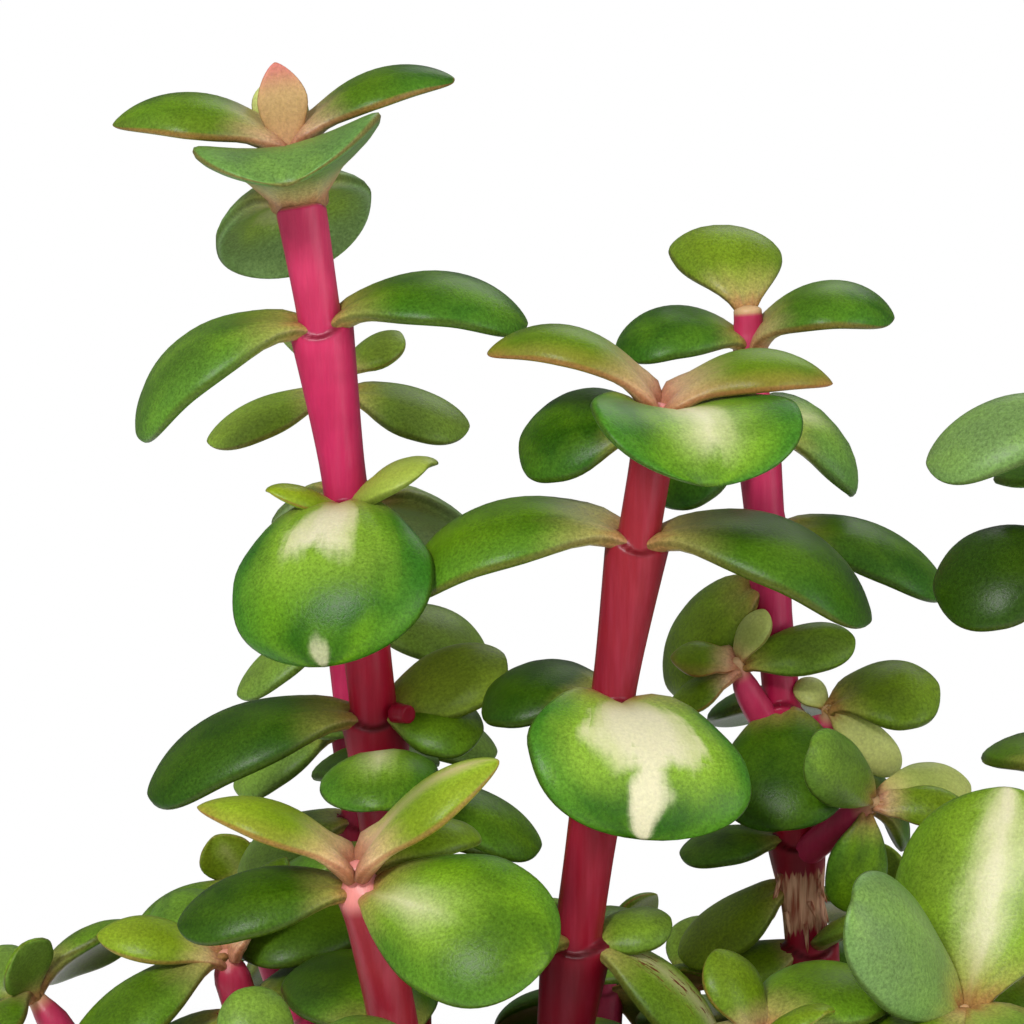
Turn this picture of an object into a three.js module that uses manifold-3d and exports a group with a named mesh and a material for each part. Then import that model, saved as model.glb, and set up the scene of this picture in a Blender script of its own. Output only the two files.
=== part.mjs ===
// A variegated elephant bush (Portulacaria afra) growing in a plain clay pot.
// Millimetres, +Z up. The origin is the centre of the pot's foot, on the surface that it stands on.
// The bush is seen from the -Y side, with +X to the right.

import * as THREE from 'three';
import { mergeVertices } from 'three/addons/utils/BufferGeometryUtils.js';
import Module from 'manifold-3d';

const wasm = await Module();
wasm.setup();

// ---------------------------------------------------------------- driving dimensions

const CLEARANCE = 0.3; // between pieces that are not grown together
const WELD = 1e-4; // corners closer than this are one corner

const POT = {
  height: 80,
  footRadius: 35,
  rimRadius: 50, // of the wall, under the rim band
  wall: 3.4,
  floor: 5,
  band: { height: 16, proud: 2.4 },
  easing: 1.2, // chamfers of the rim and the foot
  holes: { count: 3, radius: 3.2, ring: 18, sides: 12, drill: 20 }, // drill: length of the cutter
  sides: 32,
};

const SOIL = {
  top: 72,
  rings: [0.45, 0.8],
  sides: 20,
  waviness: 0.5,
  // Two long swells and a shorter one across them, as lengths in millimetres per radian.
  swells: { x: 7, shift: 1, y: 9, across: 5, share: 0.5 },
};

const STEM = {
  sides: 6,
  foot: 60, // height at which every stem starts, down in the soil
  shoulder: 0.3, // how far a node stands out on the sides that carry its leaves, in stem radii
  allRound: 0.4, // the share of the shoulder that goes all the way round
  run: 6, // length over which the shoulder dies away below its node
  step: 1.2, // length of the step back above a node
  crown: 0.8, // height of the round end above the last node
};

const LEAF = {
  thickness: 2.8, // in the middle of a leaf of the full width or more
  fullWidth: 15,
  neck: 0.24, // width where it leaves the stem, as a share of the widest
  widest: 0.56, // how far along it is widest
  growth: 1.05, // how slowly it widens at first
  roundness: 2.8, // how full its outline stays towards the tip
  ends: 0.62, // thickness at its ends, as a share of that in the middle
  bluntness: 3, // how full its thickness stays towards the tip
  slimness: 0.6, // how much thinner a narrow leaf is
  cup: 0.25, // how far its margins hang below its middle, in half widths
  sunk: 0.45, // distance of its root from the stem's axis, in stem radii
  stations: [0, 0.3, 0.62, 0.9],
  smallest: 10.5, // length under which a leaf has fewer stations
  fewStations: [0, 0.4, 0.84],
  around: [0, 55, 125, 180, 270], // degrees round a cross-section; 0 and 180 are its margins
};

// A stem is a curve from its foot towards its knee to its tip, with its radius at both ends.
// A node is [how far along its stem it is, leaf, leaf, ...]. A leaf is
// [turn, rise, bend, long, wide, roll, cup]:
//   turn  the compass direction in degrees: 0 is +X, 90 is +Y, -90 is towards the viewer
//   rise  degrees that it starts out above square to its stem; bend, degrees that it arches down
//   roll  degrees that its blade is turned about its own length (0 where it is left out)
//   cup   as LEAF.cup, where a leaf has its own; below 0 its margins stand up
// `low` lists further nodes, which are grown by rule: [how far along, turn, size].
const POSED_SHOOTS = [
  {
    name: 'shoot_tall_left',
    foot: [-16, 2, STEM.foot], knee: [-18.1, 0, 122.2], tip: [-27.6, -1, 175.6], girth: [2.7, 1.95],
    nodes: [
      [0.42, [-20, -15, 40, 13, 10, 10], [150, 15, 70, 14, 13]],
      [0.48, [-88, 58, 105, 16, 10.5], [-5, -10, 40, 15, 9.5, 15], [95, 30, 70, 14, 12]],
      [0.535, [183, 22, 72, 22.3, 13, -14], [-12, 12, 50, 9.3, 9, 20], [18, 44, 40, 12.5, 9, 28]],
      [0.705, [-100, 12, 95, 21.5, 18.2], [76, 20, 112, 20, 20, 10], [-150, 40, 30, 8, 5, -15],
        [-30, 48, 50, 10, 7.5, 12]],
      [0.85, [178, 25, 96, 21, 14, -14], [3, 37, 90, 19.5, 13.5, 9]],
      [0.953, [-90, 62, 102, 14.5, 16.6, -1, -0.28], [101, 36, 130, 18, 15, -6]],
      [1, [180, 60, 82, 16.2, 10.2, -14], [5, 52, 78, 16.2, 9.4, 10], [-84, 85, 10, 7.8, 4.5],
        [100, 78, 10, 6.5, 5]],
    ],
    low: [[0.37, 20, 1], [0.26, 110, 0.9]],
  },
  {
    name: 'shoot_middle',
    foot: [-7.4, -6, STEM.foot], knee: [-2.4, -9, 109.5], tip: [5, -10, 153.3], girth: [2.7, 1.9],
    nodes: [
      [0.47, [-12, -2, 65, 17, 10, 8], [188, 10, 60, 15, 12], [15, 45, 40, 8, 6, 20]],
      [0.705, [-74, 12, 92, 16.8, 20, 0, 0.02], [150, 18, 50, 12, 12, -20]],
      [0.864, [182, 24, 94, 23, 14.5, -14], [-5, 38, 94, 23, 14.5, 10]],
      [0.98, [-74, 29, 80, 14.8, 18.4, 6, -0.25], [166, 0, 45, 13, 11.5, -40]],
      [1, [175, 60, 104, 17.2, 8.2, -12], [6, 66, 94, 16, 8, 14]],
    ],
    low: [[0.34, 80, 1], [0.23, 170, 0.9]],
  },
  {
    name: 'shoot_right',
    foot: [25.2, 8, STEM.foot], knee: [18.1, 12, 111.3], tip: [14.1, 14, 160.2], girth: [2.6, 1.45],
    nodes: [
      [0.393, [190, 10, 40, 8, 7, -20], [-40, 45, 40, 9, 7]],
      [0.455, [185, -22, 20, 13, 8, -30]],
      [0.495, [178, 25, 50, 10.5, 8, -12], [80, 20, 60, 14, 12]],
      [0.619, [-98, -15, 50, 15, 12], [95, 20, 60, 14, 12]],
      [0.74, [195, -32, 50, 15, 11, -40]],
      [0.786, [0, 6, 62, 18.5, 11, 20]],
      [0.884, [30, 22, 100, 13, 14, 40], [200, 20, 90, 13, 13, -30]],
      [0.965, [185, 52, 96, 13.6, 10.2, -20], [-5, 66, 118, 15.5, 11.6, 14]],
      [1, [105, 80, 84, 13.4, 10.5]],
    ],
    low: [[0.28, 30, 0.95]],
    branches: [
      {
        foot: [17.6, 11.5, 120], knee: [14.5, 10, 123], tip: [13, 9, 127.8], girth: [1.6, 1.1],
        nodes: [
          [0.93, [188, 2, 34, 7.5, 5, -10], [0, 20, 50, 11, 6, 28]],
          [1, [165, 50, 60, 6, 4.6, -20], [30, 70, 50, 5.4, 4, 10]],
        ],
      },
      {
        foot: [18, 11.5, 120.5], knee: [22.3, 9.5, 121], tip: [21.6, 9, 123.3], girth: [1.5, 1.2],
        nodes: [
          [1, [5, 24, 62, 10.6, 11, 12], [-80, -60, 40, 9, 4, 30], [120, 60, 40, 4, 3.2]],
        ],
      },
      {
        foot: [19.3, 11, 109], knee: [21.5, 8.5, 111.5], tip: [25.5, 4.5, 115.6], girth: [1.5, 1.2],
        nodes: [
          [0.9, [60, -5, 60, 12, 10], [-60, -30, 40, 10, 6, 20]],
          [1, [172, 40, 25, 12.3, 6.5, -30], [0, 48, 24, 8.5, 4.2, 10], [30, 40, 40, 10, 6]],
        ],
      },
    ],
  },
  {
    name: 'shoot_front',
    foot: [-13.5, -16, STEM.foot], knee: [-15.8, -24, 97.4], tip: [-20.9, -27, 116.5],
    girth: [2.6, 2],
    nodes: [
      [0.94, [-46, 14, 60, 19.5, 14, 22], [182, 34, 58, 15.5, 9.5, -10]],
      [0.97, [40, 30, 70, 12, 9]],
      [1, [176, 70, 66, 14.2, 7.5, 2], [2, 48, 46, 14.8, 8.5, 6]],
    ],
    low: [[0.62, -75, 1], [0.38, 15, 0.95]],
  },
  {
    name: 'shoot_edge',
    foot: [33, -2, STEM.foot], knee: [43, -6, 108], tip: [42.3, -18.5, 153.6], girth: [2.7, 1.8],
    nodes: [
      [0.63, [-40, 20, 60, 13, 12], [90, 20, 60, 16, 14]],
      [0.848, [177, 22, 70, 14, 11.5, -28], [0, 20, 60, 15, 13]],
      [0.92, [-80, 25, 80, 15, 14], [100, 20, 60, 14, 13]],
      [1, [178, 5, 50, 15.5, 9.5, -15], [0, 50, 70, 15, 10], [60, 80, 20, 8, 5]],
    ],
    low: [[0.44, 15, 1], [0.3, 105, 0.95]],
  },
  {
    name: 'shoot_edge_low',
    foot: [27, -14, STEM.foot], knee: [29, -20, 84], tip: [30.4, -24, 103.4], girth: [2.4, 1.8],
    nodes: [
      [1, [64, 70, 25, 19.5, 17.5, -8], [165, 70, 20, 17.5, 11, -35], [-50, 15, 70, 15, 13],
        [-140, 10, 60, 14, 11]],
    ],
    low: [[0.7, 150, 1], [0.45, 60, 0.95]],
  },
  {
    name: 'shoot_left_low',
    foot: [-24, -6, STEM.foot], knee: [-29, -6, 90], tip: [-33.5, -8, 104.2], girth: [2.4, 1.7],
    nodes: [
      [0.82, [200, 10, 60, 17, 9, -10], [20, 30, 60, 12, 10]],
      [1, [178, 57, 52, 11.2, 6.6, -12], [-150, 12, 50, 18, 9, -10], [30, 60, 50, 10, 7],
        [120, 50, 50, 10, 7]],
    ],
    low: [[0.6, 110, 1], [0.4, 20, 0.95]],
  },
  {
    name: 'shoot_back_left',
    foot: [-14.9, 16, STEM.foot], knee: [-24.2, 22, 102.2], tip: [-24.5, 22, 153.5],
    girth: [2.4, 1.3],
    nodes: [
      [0.56, [180, 10, 60, 13, 11, -15], [0, 15, 60, 14, 10, 10]],
      [0.655, [182, 5, 60, 13, 11, -15], [-2, 15, 60, 14, 10, 15], [-80, 15, 60, 12, 11]],
      [0.755, [188, -10, 40, 12, 8, -10], [-4, 22, 75, 14, 10, 20]],
      [0.86, [-85, 10, 60, 12, 11], [95, 20, 60, 13, 12]],
      [0.98, [190, -2, 35, 13, 8, -15], [-4, 2, 35, 12.5, 9.5, 20]],
      [1, [25, 50, 30, 7, 6.5, 10], [205, 60, 30, 7, 6]],
    ],
    low: [[0.45, 80, 1], [0.3, 170, 0.95]],
  },
];

// Low shoots that fill the pot, grown by rule:
// [name, compass direction, distance of its foot and of its tip from the middle, tip height]
const LOW_SHOOTS = [
  ['shoot_low_front', -67, 26, 33, 103],
  ['shoot_low_front_left', -128, 31, 42, 101],
  ['shoot_low_right', 12, 38, 52, 100],
  ['shoot_low_back_right', 48, 31, 44, 99],
  ['shoot_low_back', 88, 27, 42, 93],
  ['shoot_low_back_left', 133, 37, 51, 100],
  ['shoot_low_left', 178, 37, 52, 98],
  ['shoot_low_inner', 62, 17, 20, 95],
];

const LOW_SHOOT = {
  girth: [2.3, 1.5],
  stiffness: 0.55, // how high its knee is, as a share of its height
  lean: 2, // how much further out its knee is than its foot
  nodes: [0.48, 0.66, 0.84, 1],
  smaller: 0.07, // how much smaller each pair of leaves is than the one below it
};

// What a leaf that is grown by rule measures, before it is varied.
const GROWN_LEAF = { rise: 18, bend: 68, long: 15, slenderness: 0.82 };
// The young leaves at the end of such a shoot: [turn, rise, bend, size] after its last pair.
const GROWN_TIP = [[90, 66, 40, 0.52], [-90, 62, 40, 0.48]];
const VARY = { turn: 16, rise: 10, bend: 14, size: 0.14, roll: 14 };

// A leaf that would touch another shoot is posed anew, in this order, and left out if none fits:
// [turn, rise, size].
const NUDGES = [
  [0, 0, 1], [9, 0, 1], [-9, 0, 1], [0, 12, 1], [0, -10, 1], [16, 8, 0.95], [-16, 8, 0.95],
  [0, 22, 0.9], [26, 0, 0.88], [-26, 0, 0.88], [0, -18, 0.85], [14, 28, 0.8], [-14, 28, 0.8],
  [36, 12, 0.75], [-36, 12, 0.75], [0, 40, 0.7], [0, 10, 0.62],
];
const CROSSING = 0.06; // share of a rule-grown leaf that may lie inside its own shoot's leaves

const FINISHES = {
  leaf: { color: 0x4f8a2c, roughness: 0.35, metalness: 0 },
  clay: { color: 0xb4653f, roughness: 0.85, metalness: 0 },
  soil: { color: 0x3b2c22, roughness: 1, metalness: 0 },
};

// ---------------------------------------------------------------- chance, the same on every run

let chanceState = 20011;

/** The next of a fixed row of numbers from 0 to 1 (Park and Miller's generator). */
function chance() {
  chanceState = (chanceState * 16807) % 2147483647;
  return chanceState / 2147483647;
}

/** A number from -reach to reach. */
function spread(reach) {
  return (2 * chance() - 1) * reach;
}

// ---------------------------------------------------------------- solids

const radians = THREE.MathUtils.degToRad;

/** A manifold solid from a closed three.js geometry; flat and doubled corners are dropped. */
function solidFrom(geometry) {
  geometry.deleteAttribute('normal');
  geometry.deleteAttribute('uv');
  const merged = mergeVertices(geometry, WELD);
  const corners = merged.index.array;
  const triangles = [];
  for (let i = 0; i < corners.length; i += 3) {
    const [a, b, c] = [corners[i], corners[i + 1], corners[i + 2]];
    if (a !== b && b !== c && c !== a) triangles.push(a, b, c);
  }
  return new wasm.Manifold(new wasm.Mesh({
    numProp: 3,
    vertProperties: new Float32Array(merged.attributes.position.array),
    triVerts: new Uint32Array(triangles),
  }));
}

/** A three.js geometry with the faces of a manifold solid. */
function geometryFrom(solid) {
  const mesh = solid.getMesh();
  const geometry = new THREE.BufferGeometry();
  geometry.setAttribute('position', new THREE.BufferAttribute(mesh.vertProperties, 3));
  geometry.setIndex(new THREE.BufferAttribute(mesh.triVerts, 1));
  geometry.computeVertexNormals();
  return geometry;
}

/** The solid without loose scraps and sealed hollows: the largest of the bodies it falls into. */
function wholeBody(solid) {
  return solid.decompose().reduce((best, part) => (part.volume() > best.volume() ? part : best));
}

/** A closed skin over rings of points, flat at its first ring and pointed at its end. */
function loft(rings, apex) {
  const around = rings[0].length;
  const points = [...rings.flat(), apex];
  const triangles = [];
  for (let i = 1; i < around - 1; i++) triangles.push(0, i + 1, i);
  for (let i = 0; i < around; i++) {
    const next = (i + 1) % around;
    for (let ring = 0; ring < rings.length - 1; ring++) {
      const low = ring * around;
      const high = low + around;
      triangles.push(low + i, low + next, high + next);
      triangles.push(low + i, high + next, high + i);
    }
    const last = (rings.length - 1) * around;
    triangles.push(last + i, last + next, points.length - 1);
  }
  const geometry = new THREE.BufferGeometry().setFromPoints(points);
  geometry.setIndex(triangles);
  return solidFrom(geometry);
}

/** A body turned about Z from a profile of [radius, height] pairs. */
function turned(profile, sides) {
  const points = profile.map(([radius, height]) => new THREE.Vector2(radius, height));
  return new THREE.LatheGeometry(points, sides).rotateX(Math.PI / 2);
}

// ---------------------------------------------------------------- the pot and its soil

/** Radius of the pot's outer wall at a height. */
function potRadius(height) {
  return THREE.MathUtils.mapLinear(height, 0, POT.height, POT.footRadius, POT.rimRadius);
}

function pot() {
  const { height, wall, floor, band, easing, holes } = POT;
  const underBand = height - band.height;
  const bandRadius = POT.rimRadius + band.proud;
  const inside = (level) => potRadius(level) - wall;
  let solid = solidFrom(turned([
    [0, 0],
    [POT.footRadius - easing, 0],
    [potRadius(easing), easing],
    [potRadius(underBand - band.proud), underBand - band.proud],
    [bandRadius - easing / 2, underBand],
    [bandRadius, underBand + easing],
    [bandRadius, height - easing],
    [bandRadius - easing, height],
    [inside(height) + easing, height],
    [inside(height), height - easing],
    [inside(floor + wall), floor + wall],
    [inside(floor) - wall, floor],
    [0, floor],
  ], POT.sides));
  const drill = new THREE.CylinderGeometry(holes.radius, holes.radius, holes.drill, holes.sides);
  drill.rotateX(Math.PI / 2);
  for (let i = 0; i < holes.count; i++) {
    const turn = (2 * Math.PI * i) / holes.count;
    const place = [holes.ring * Math.cos(turn), holes.ring * Math.sin(turn), 0];
    solid = solid.subtract(solidFrom(drill.clone()).translate(place));
  }
  return solid;
}

/** The soil: it fills the pot to SOIL.top, its face is slightly uneven, and it has stem holes. */
function soil(stemHoles) {
  const { floor, wall } = POT;
  const reach = (height) => potRadius(height) - wall - CLEARANCE;
  const bottom = floor + CLEARANCE;
  const geometry = turned([
    [0, bottom],
    [reach(bottom) - wall - CLEARANCE, bottom],
    [reach(bottom + wall), bottom + wall],
    [reach(SOIL.top), SOIL.top],
    ...SOIL.rings.toReversed().map((share) => [share * reach(SOIL.top), SOIL.top]),
    [0, SOIL.top],
  ], SOIL.sides);
  const corners = geometry.attributes.position;
  const swells = SOIL.swells;
  for (let i = 0; i < corners.count; i++) {
    const [x, y, z] = [corners.getX(i), corners.getY(i), corners.getZ(i)];
    const heave = Math.sin(x / swells.x + swells.shift) * Math.cos(y / swells.y)
      + swells.share * Math.sin((x - y) / swells.across);
    if (z > SOIL.top - WELD) corners.setZ(i, z + SOIL.waviness * heave);
  }
  return stemHoles.reduce((solid, hole) => solid.subtract(hole), solidFrom(geometry));
}

// ---------------------------------------------------------------- stems

/** The stem's axis, as a curve. */
function axisOf(stem) {
  const [foot, knee, tip] = [stem.foot, stem.knee, stem.tip].map((p) => new THREE.Vector3(...p));
  return new THREE.QuadraticBezierCurve3(foot, knee, tip);
}

function girthAt(stem, at) {
  return THREE.MathUtils.lerp(stem.girth[0], stem.girth[1], at);
}

/** Unit direction in which something with this compass turn leaves a stem, square to its way. */
function outward(way, turn) {
  const compass = new THREE.Vector3(Math.cos(radians(turn)), Math.sin(radians(turn)), 0);
  return compass.addScaledVector(way, -compass.dot(way)).normalize();
}

/**
 * A stem: rings of STEM.sides corners at its foot, below, at and above each node, and at its tip.
 * At a node it stands out by the shoulder, most on the two sides that carry the first leaves.
 */
function stemSolid(stem, extra = 0) {
  const axis = axisOf(stem);
  const length = axis.getLength();
  const ring = (at, radiusOf) => {
    const centre = axis.getPoint(at);
    const way = axis.getTangent(at);
    const first = outward(way, 0);
    const second = way.clone().cross(first);
    return Array.from({ length: STEM.sides }, (_, i) => {
      const angle = (2 * Math.PI * i) / STEM.sides;
      const radius = radiusOf(angle) + extra;
      return centre.clone()
        .addScaledVector(first, radius * Math.cos(angle))
        .addScaledVector(second, radius * Math.sin(angle));
    });
  };
  const plain = (at) => ring(at, () => girthAt(stem, at));
  const rings = [plain(0)];
  rings[0].forEach((corner) => corner.setZ(corner.z - extra));
  let done = 0;
  for (const [at, [turn]] of stem.nodes) {
    const below = at - STEM.run / length;
    if (below > done) rings.push(plain(below));
    rings.push(ring(at, (angle) => {
      const facing = Math.cos(angle - radians(turn)) ** 2;
      const share = STEM.allRound + (1 - STEM.allRound) * facing;
      return girthAt(stem, at) * (1 + STEM.shoulder * share);
    }));
    done = at + STEM.step / length;
    if (done < 1) rings.push(plain(done));
  }
  const apex = axis.getPoint(1).addScaledVector(axis.getTangent(1), STEM.crown + extra);
  return loft(rings, apex);
}

// ---------------------------------------------------------------- leaves

/**
 * A leaf: rings across it from its sunk root to its tip. Its midline leaves the stem at `rise` and
 * turns down evenly by `bend`. Its half width grows with a sine from the neck to the widest place
 * and closes like a rounded end; its thickness follows the same idea, more flatly.
 */
function leafSolid(stem, at, leaf, extra = 0) {
  const [turn, rise, bend, long, wide, roll = 0, cup = LEAF.cup] = leaf;
  const axis = axisOf(stem);
  const way = axis.getTangent(at);
  const out = outward(way, turn);
  const up = way.clone().applyAxisAngle(out, radians(roll));
  const side = way.clone().cross(out).applyAxisAngle(out, radians(roll));
  const root = axis.getPoint(at).addScaledVector(out, LEAF.sunk * girthAt(stem, at));
  const half = thickness(wide) / 2;
  const [start, arch] = [radians(rise), radians(bend)];
  const reach = long + extra;
  const ringAt = (along) => {
    const slope = start - arch * along;
    const forward = (reach * (Math.sin(start) - Math.sin(slope))) / arch;
    const height = (reach * (Math.cos(slope) - Math.cos(start))) / arch;
    const grown = Math.sin((Math.PI / 2) * Math.min(along / LEAF.widest, 1)) ** LEAF.growth;
    const past = Math.max(0, (along - LEAF.widest) / (1 - LEAF.widest));
    const across = (wide / 2) * (LEAF.neck + (1 - LEAF.neck) * grown)
      * Math.sqrt(1 - past ** LEAF.roundness) + extra;
    const deep = half * (LEAF.ends + (1 - LEAF.ends) * Math.sin(Math.PI * along))
      * Math.sqrt(1 - past ** LEAF.bluntness) + extra;
    return LEAF.around.map((degrees) => {
      const sideways = Math.cos(radians(degrees));
      const lift = deep * Math.sin(radians(degrees)) - cup * across * sideways ** 2;
      return root.clone()
        .addScaledVector(out, forward - Math.sin(slope) * lift)
        .addScaledVector(up, height + Math.cos(slope) * lift)
        .addScaledVector(side, across * sideways);
    });
  };
  const tip = ringAt(1).reduce((sum, corner) => sum.add(corner)).divideScalar(LEAF.around.length);
  const stations = long < LEAF.smallest ? LEAF.fewStations : LEAF.stations;
  return loft(stations.map(ringAt), tip);
}

/** How thick a leaf of this width is: thinner when it is small. */
function thickness(wide) {
  return LEAF.thickness * Math.min(1, wide / LEAF.fullWidth) ** LEAF.slimness;
}

// ---------------------------------------------------------------- growth by rule

/** A pair of facing leaves at a node, varied by chance. */
function grownPair(at, turn, size) {
  return [at, ...[0, 180].map((side) => {
    const scale = size * (1 + spread(VARY.size));
    return [
      turn + side + spread(VARY.turn),
      GROWN_LEAF.rise + spread(VARY.rise),
      GROWN_LEAF.bend + spread(VARY.bend),
      GROWN_LEAF.long * scale,
      GROWN_LEAF.long * GROWN_LEAF.slenderness * scale,
      spread(VARY.roll),
    ];
  })];
}

/** A low shoot: it leans outwards, and each pair of leaves stands square to the one below it. */
function lowShoot([name, direction, footAway, tipAway, top]) {
  const place = (away, height) => [
    away * Math.cos(radians(direction)),
    away * Math.sin(radians(direction)),
    height,
  ];
  const knee = THREE.MathUtils.lerp(STEM.foot, top, LOW_SHOOT.stiffness);
  const firstTurn = 180 * chance();
  const grown = LOW_SHOOT.nodes.map(
    (at, i) => grownPair(at, firstTurn + 90 * i, 1 - LOW_SHOOT.smaller * i),
  );
  const last = grown.at(-1);
  for (const [turn, rise, bend, size] of GROWN_TIP) {
    const wide = GROWN_LEAF.long * GROWN_LEAF.slenderness * size;
    last.push([last[1][0] + turn, rise, bend, GROWN_LEAF.long * size, wide]);
  }
  return {
    name,
    foot: place(footAway, STEM.foot),
    knee: place(footAway + LOW_SHOOT.lean, knee),
    tip: place(tipAway, top),
    girth: LOW_SHOOT.girth,
    nodes: [],
    grown,
  };
}

/** All shoots, each with its posed nodes and its rule-grown nodes. */
function allShoots() {
  const posed = POSED_SHOOTS.map((shoot) => ({
    ...shoot,
    grown: shoot.low.map(([at, turn, size]) => grownPair(at, turn, size)),
  }));
  return [...posed, ...LOW_SHOOTS.map(lowShoot)];
}

// ---------------------------------------------------------------- putting it together

/** True where two manifold solids share no space. */
function clear(a, b) {
  const shared = a.intersect(b);
  const empty = shared.isEmpty();
  shared.delete();
  return empty;
}

/** The box of a manifold solid, as a THREE.Box3. */
function boxOf(solid) {
  const { min, max } = solid.boundingBox();
  return new THREE.Box3(new THREE.Vector3(...min), new THREE.Vector3(...max));
}

/** Keeps what stands already, and says whether a new leaf of a shoot would be clear of it. */
class Standing {
  pieces = [];

  add(owner, solid, isLeaf = false) {
    this.pieces.push({ owner, solid, isLeaf, box: boxOf(solid) });
  }

  near(box) {
    return this.pieces.filter((piece) => piece.box.intersectsBox(box));
  }

  clearOfOthers(owner, solid) {
    return this.near(boxOf(solid)).every((p) => p.owner === owner || clear(p.solid, solid));
  }

  /** The share of a leaf that lies inside leaves of its own shoot. */
  crossing(owner, solid) {
    const own = this.near(boxOf(solid)).filter((p) => p.owner === owner && p.isLeaf);
    const shared = own.reduce((sum, p) => sum + solid.intersect(p.solid).volume(), 0);
    return shared / solid.volume();
  }
}

/** The leaf as it is posed at last: the first nudge that keeps it clear, or null. */
function settledLeaf(standing, owner, stem, at, leaf, limit) {
  const [turn, rise, bend, long, wide, ...rest] = leaf;
  for (const [turnBy, riseBy, size] of NUDGES) {
    const posed = [turn + turnBy, rise + riseBy, bend, long * size, wide * size, ...rest];
    const solid = leafSolid(stem, at, posed);
    const roomy = leafSolid(stem, at, posed, CLEARANCE);
    if (!standing.clearOfOthers(owner, roomy)) continue;
    if (standing.crossing(owner, solid) <= limit) return solid;
  }
  return null;
}

/** Grows the bush: pot, soil and stems first, then the posed leaves, then those grown by rule. */
function elephantBush() {
  const shoots = allShoots();
  const stemsOf = (shoot) => [shoot, ...(shoot.branches ?? [])];
  const byHeight = (nodes) => [...nodes].sort((a, b) => a[0] - b[0]);
  const standing = new Standing();
  const holeSlack = CLEARANCE / Math.cos(Math.PI / STEM.sides);
  const bodies = new Map();
  const holes = [];
  for (const shoot of shoots) {
    for (const stem of stemsOf(shoot)) {
      const whole = { ...stem, nodes: byHeight([...stem.nodes, ...(stem.grown ?? [])]) };
      const solid = stemSolid(whole);
      standing.add(shoot.name, solid);
      const known = bodies.get(shoot.name);
      bodies.set(shoot.name, known ? known.add(solid) : solid);
      if (stem === shoot) holes.push(stemSolid(whole, holeSlack));
    }
  }
  const potSolid = pot();
  const soilSolid = soil(holes);
  standing.add('pot', potSolid);
  standing.add('soil', soilSolid);

  const growLeaves = (pick, limit) => {
    for (const shoot of shoots) {
      for (const stem of stemsOf(shoot)) {
        for (const [at, ...leaves] of pick(stem)) {
          for (const leaf of leaves) {
            const solid = settledLeaf(standing, shoot.name, stem, at, leaf, limit);
            if (!solid) continue;
            standing.add(shoot.name, solid, true);
            bodies.set(shoot.name, bodies.get(shoot.name).add(solid));
          }
        }
      }
    }
  };
  growLeaves((stem) => stem.nodes, 1);
  growLeaves((stem) => stem.grown ?? [], CROSSING);

  const bush = new THREE.Group();
  const place = (name, solid, finish) => {
    const mesh = new THREE.Mesh(geometryFrom(solid), new THREE.MeshStandardMaterial(finish));
    mesh.name = name;
    bush.add(mesh);
  };
  place('pot', potSolid, FINISHES.clay);
  place('soil', soilSolid, FINISHES.soil);
  for (const [name, solid] of bodies) place(name, wholeBody(solid), FINISHES.leaf);
  return bush;
}

export default elephantBush();
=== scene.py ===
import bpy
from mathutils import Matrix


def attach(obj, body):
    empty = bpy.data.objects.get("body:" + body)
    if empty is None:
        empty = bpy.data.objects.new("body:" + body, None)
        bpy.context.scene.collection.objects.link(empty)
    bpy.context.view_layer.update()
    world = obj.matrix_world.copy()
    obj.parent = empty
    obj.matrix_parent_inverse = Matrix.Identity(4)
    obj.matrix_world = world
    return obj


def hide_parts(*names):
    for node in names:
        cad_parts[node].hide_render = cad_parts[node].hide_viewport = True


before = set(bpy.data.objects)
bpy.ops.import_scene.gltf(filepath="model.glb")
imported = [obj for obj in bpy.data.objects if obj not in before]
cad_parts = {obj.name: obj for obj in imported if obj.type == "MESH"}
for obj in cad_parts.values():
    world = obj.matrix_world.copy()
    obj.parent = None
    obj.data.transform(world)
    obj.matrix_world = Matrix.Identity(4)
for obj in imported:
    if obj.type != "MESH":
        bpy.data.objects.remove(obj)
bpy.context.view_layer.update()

# A variegated elephant bush in a clay pot: the fine surfaces and finishes round its solids.
# Shapes are worked out in millimetres, in the frame of the solids, and made metres in one place.
# Every stem and leaf repeats the rule that its solid was grown by, in finer steps.

import math
from types import SimpleNamespace as Sizes

import bmesh
import bpy
import numpy as np

MM = 0.001  # metres

# ---------------------------------------------------------------- sizes, in millimetres

POT = Sizes(
    height=80, foot_radius=35, rim_radius=50, wall=3.4, floor=5, band_height=16, band_proud=2.4,
    easing=1.2, corner=1.4, recess=0.9, foot_ring=5, foot_slope=1, middle=10, hole_count=3,
    hole_radius=3.2, hole_ring=18, hole_sides=32, sides=160, profile_step=1.1, ripple=0.07,
    ripple_length=3.1,
)
SOIL = Sizes(
    top=72, waviness=0.5, gap=0.3, rings=90, sides=200, crumb=0.42, edge=1.5, edge_width=1.2,
    edge_drop=0.6, grains=620, grain_sizes=(0.5, 1.5), grain_margin=2.2, grain_lift=0.25,
)
# plump, shoulder, waist and ribs are shares of a stem's girth. quiet is how close to the tip a
# node only swells softly. Ribs are rows of (height, how many go round the stem, phase per seed).
STEM = Sizes(
    foot=60, plump=1.02, shoulder=0.42, all_round=0.34, run=14, flare=1.4, ledge=0.55, waist=0.09,
    waist_run=10, sag=1.4, quiet=4.5, soft_swell=0.4, soft_run=2, taper=3.2, tender_step=0.3,
    crown=0.5, crown_rings=4, crown_end=0.05, ribs=((0.012, 5, 1), (0.008, 11, 3)), around=26,
    ring_gap=1.2, least_gap=0.1, fine_reach=1.7, fine_gap=0.17,
)
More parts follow.
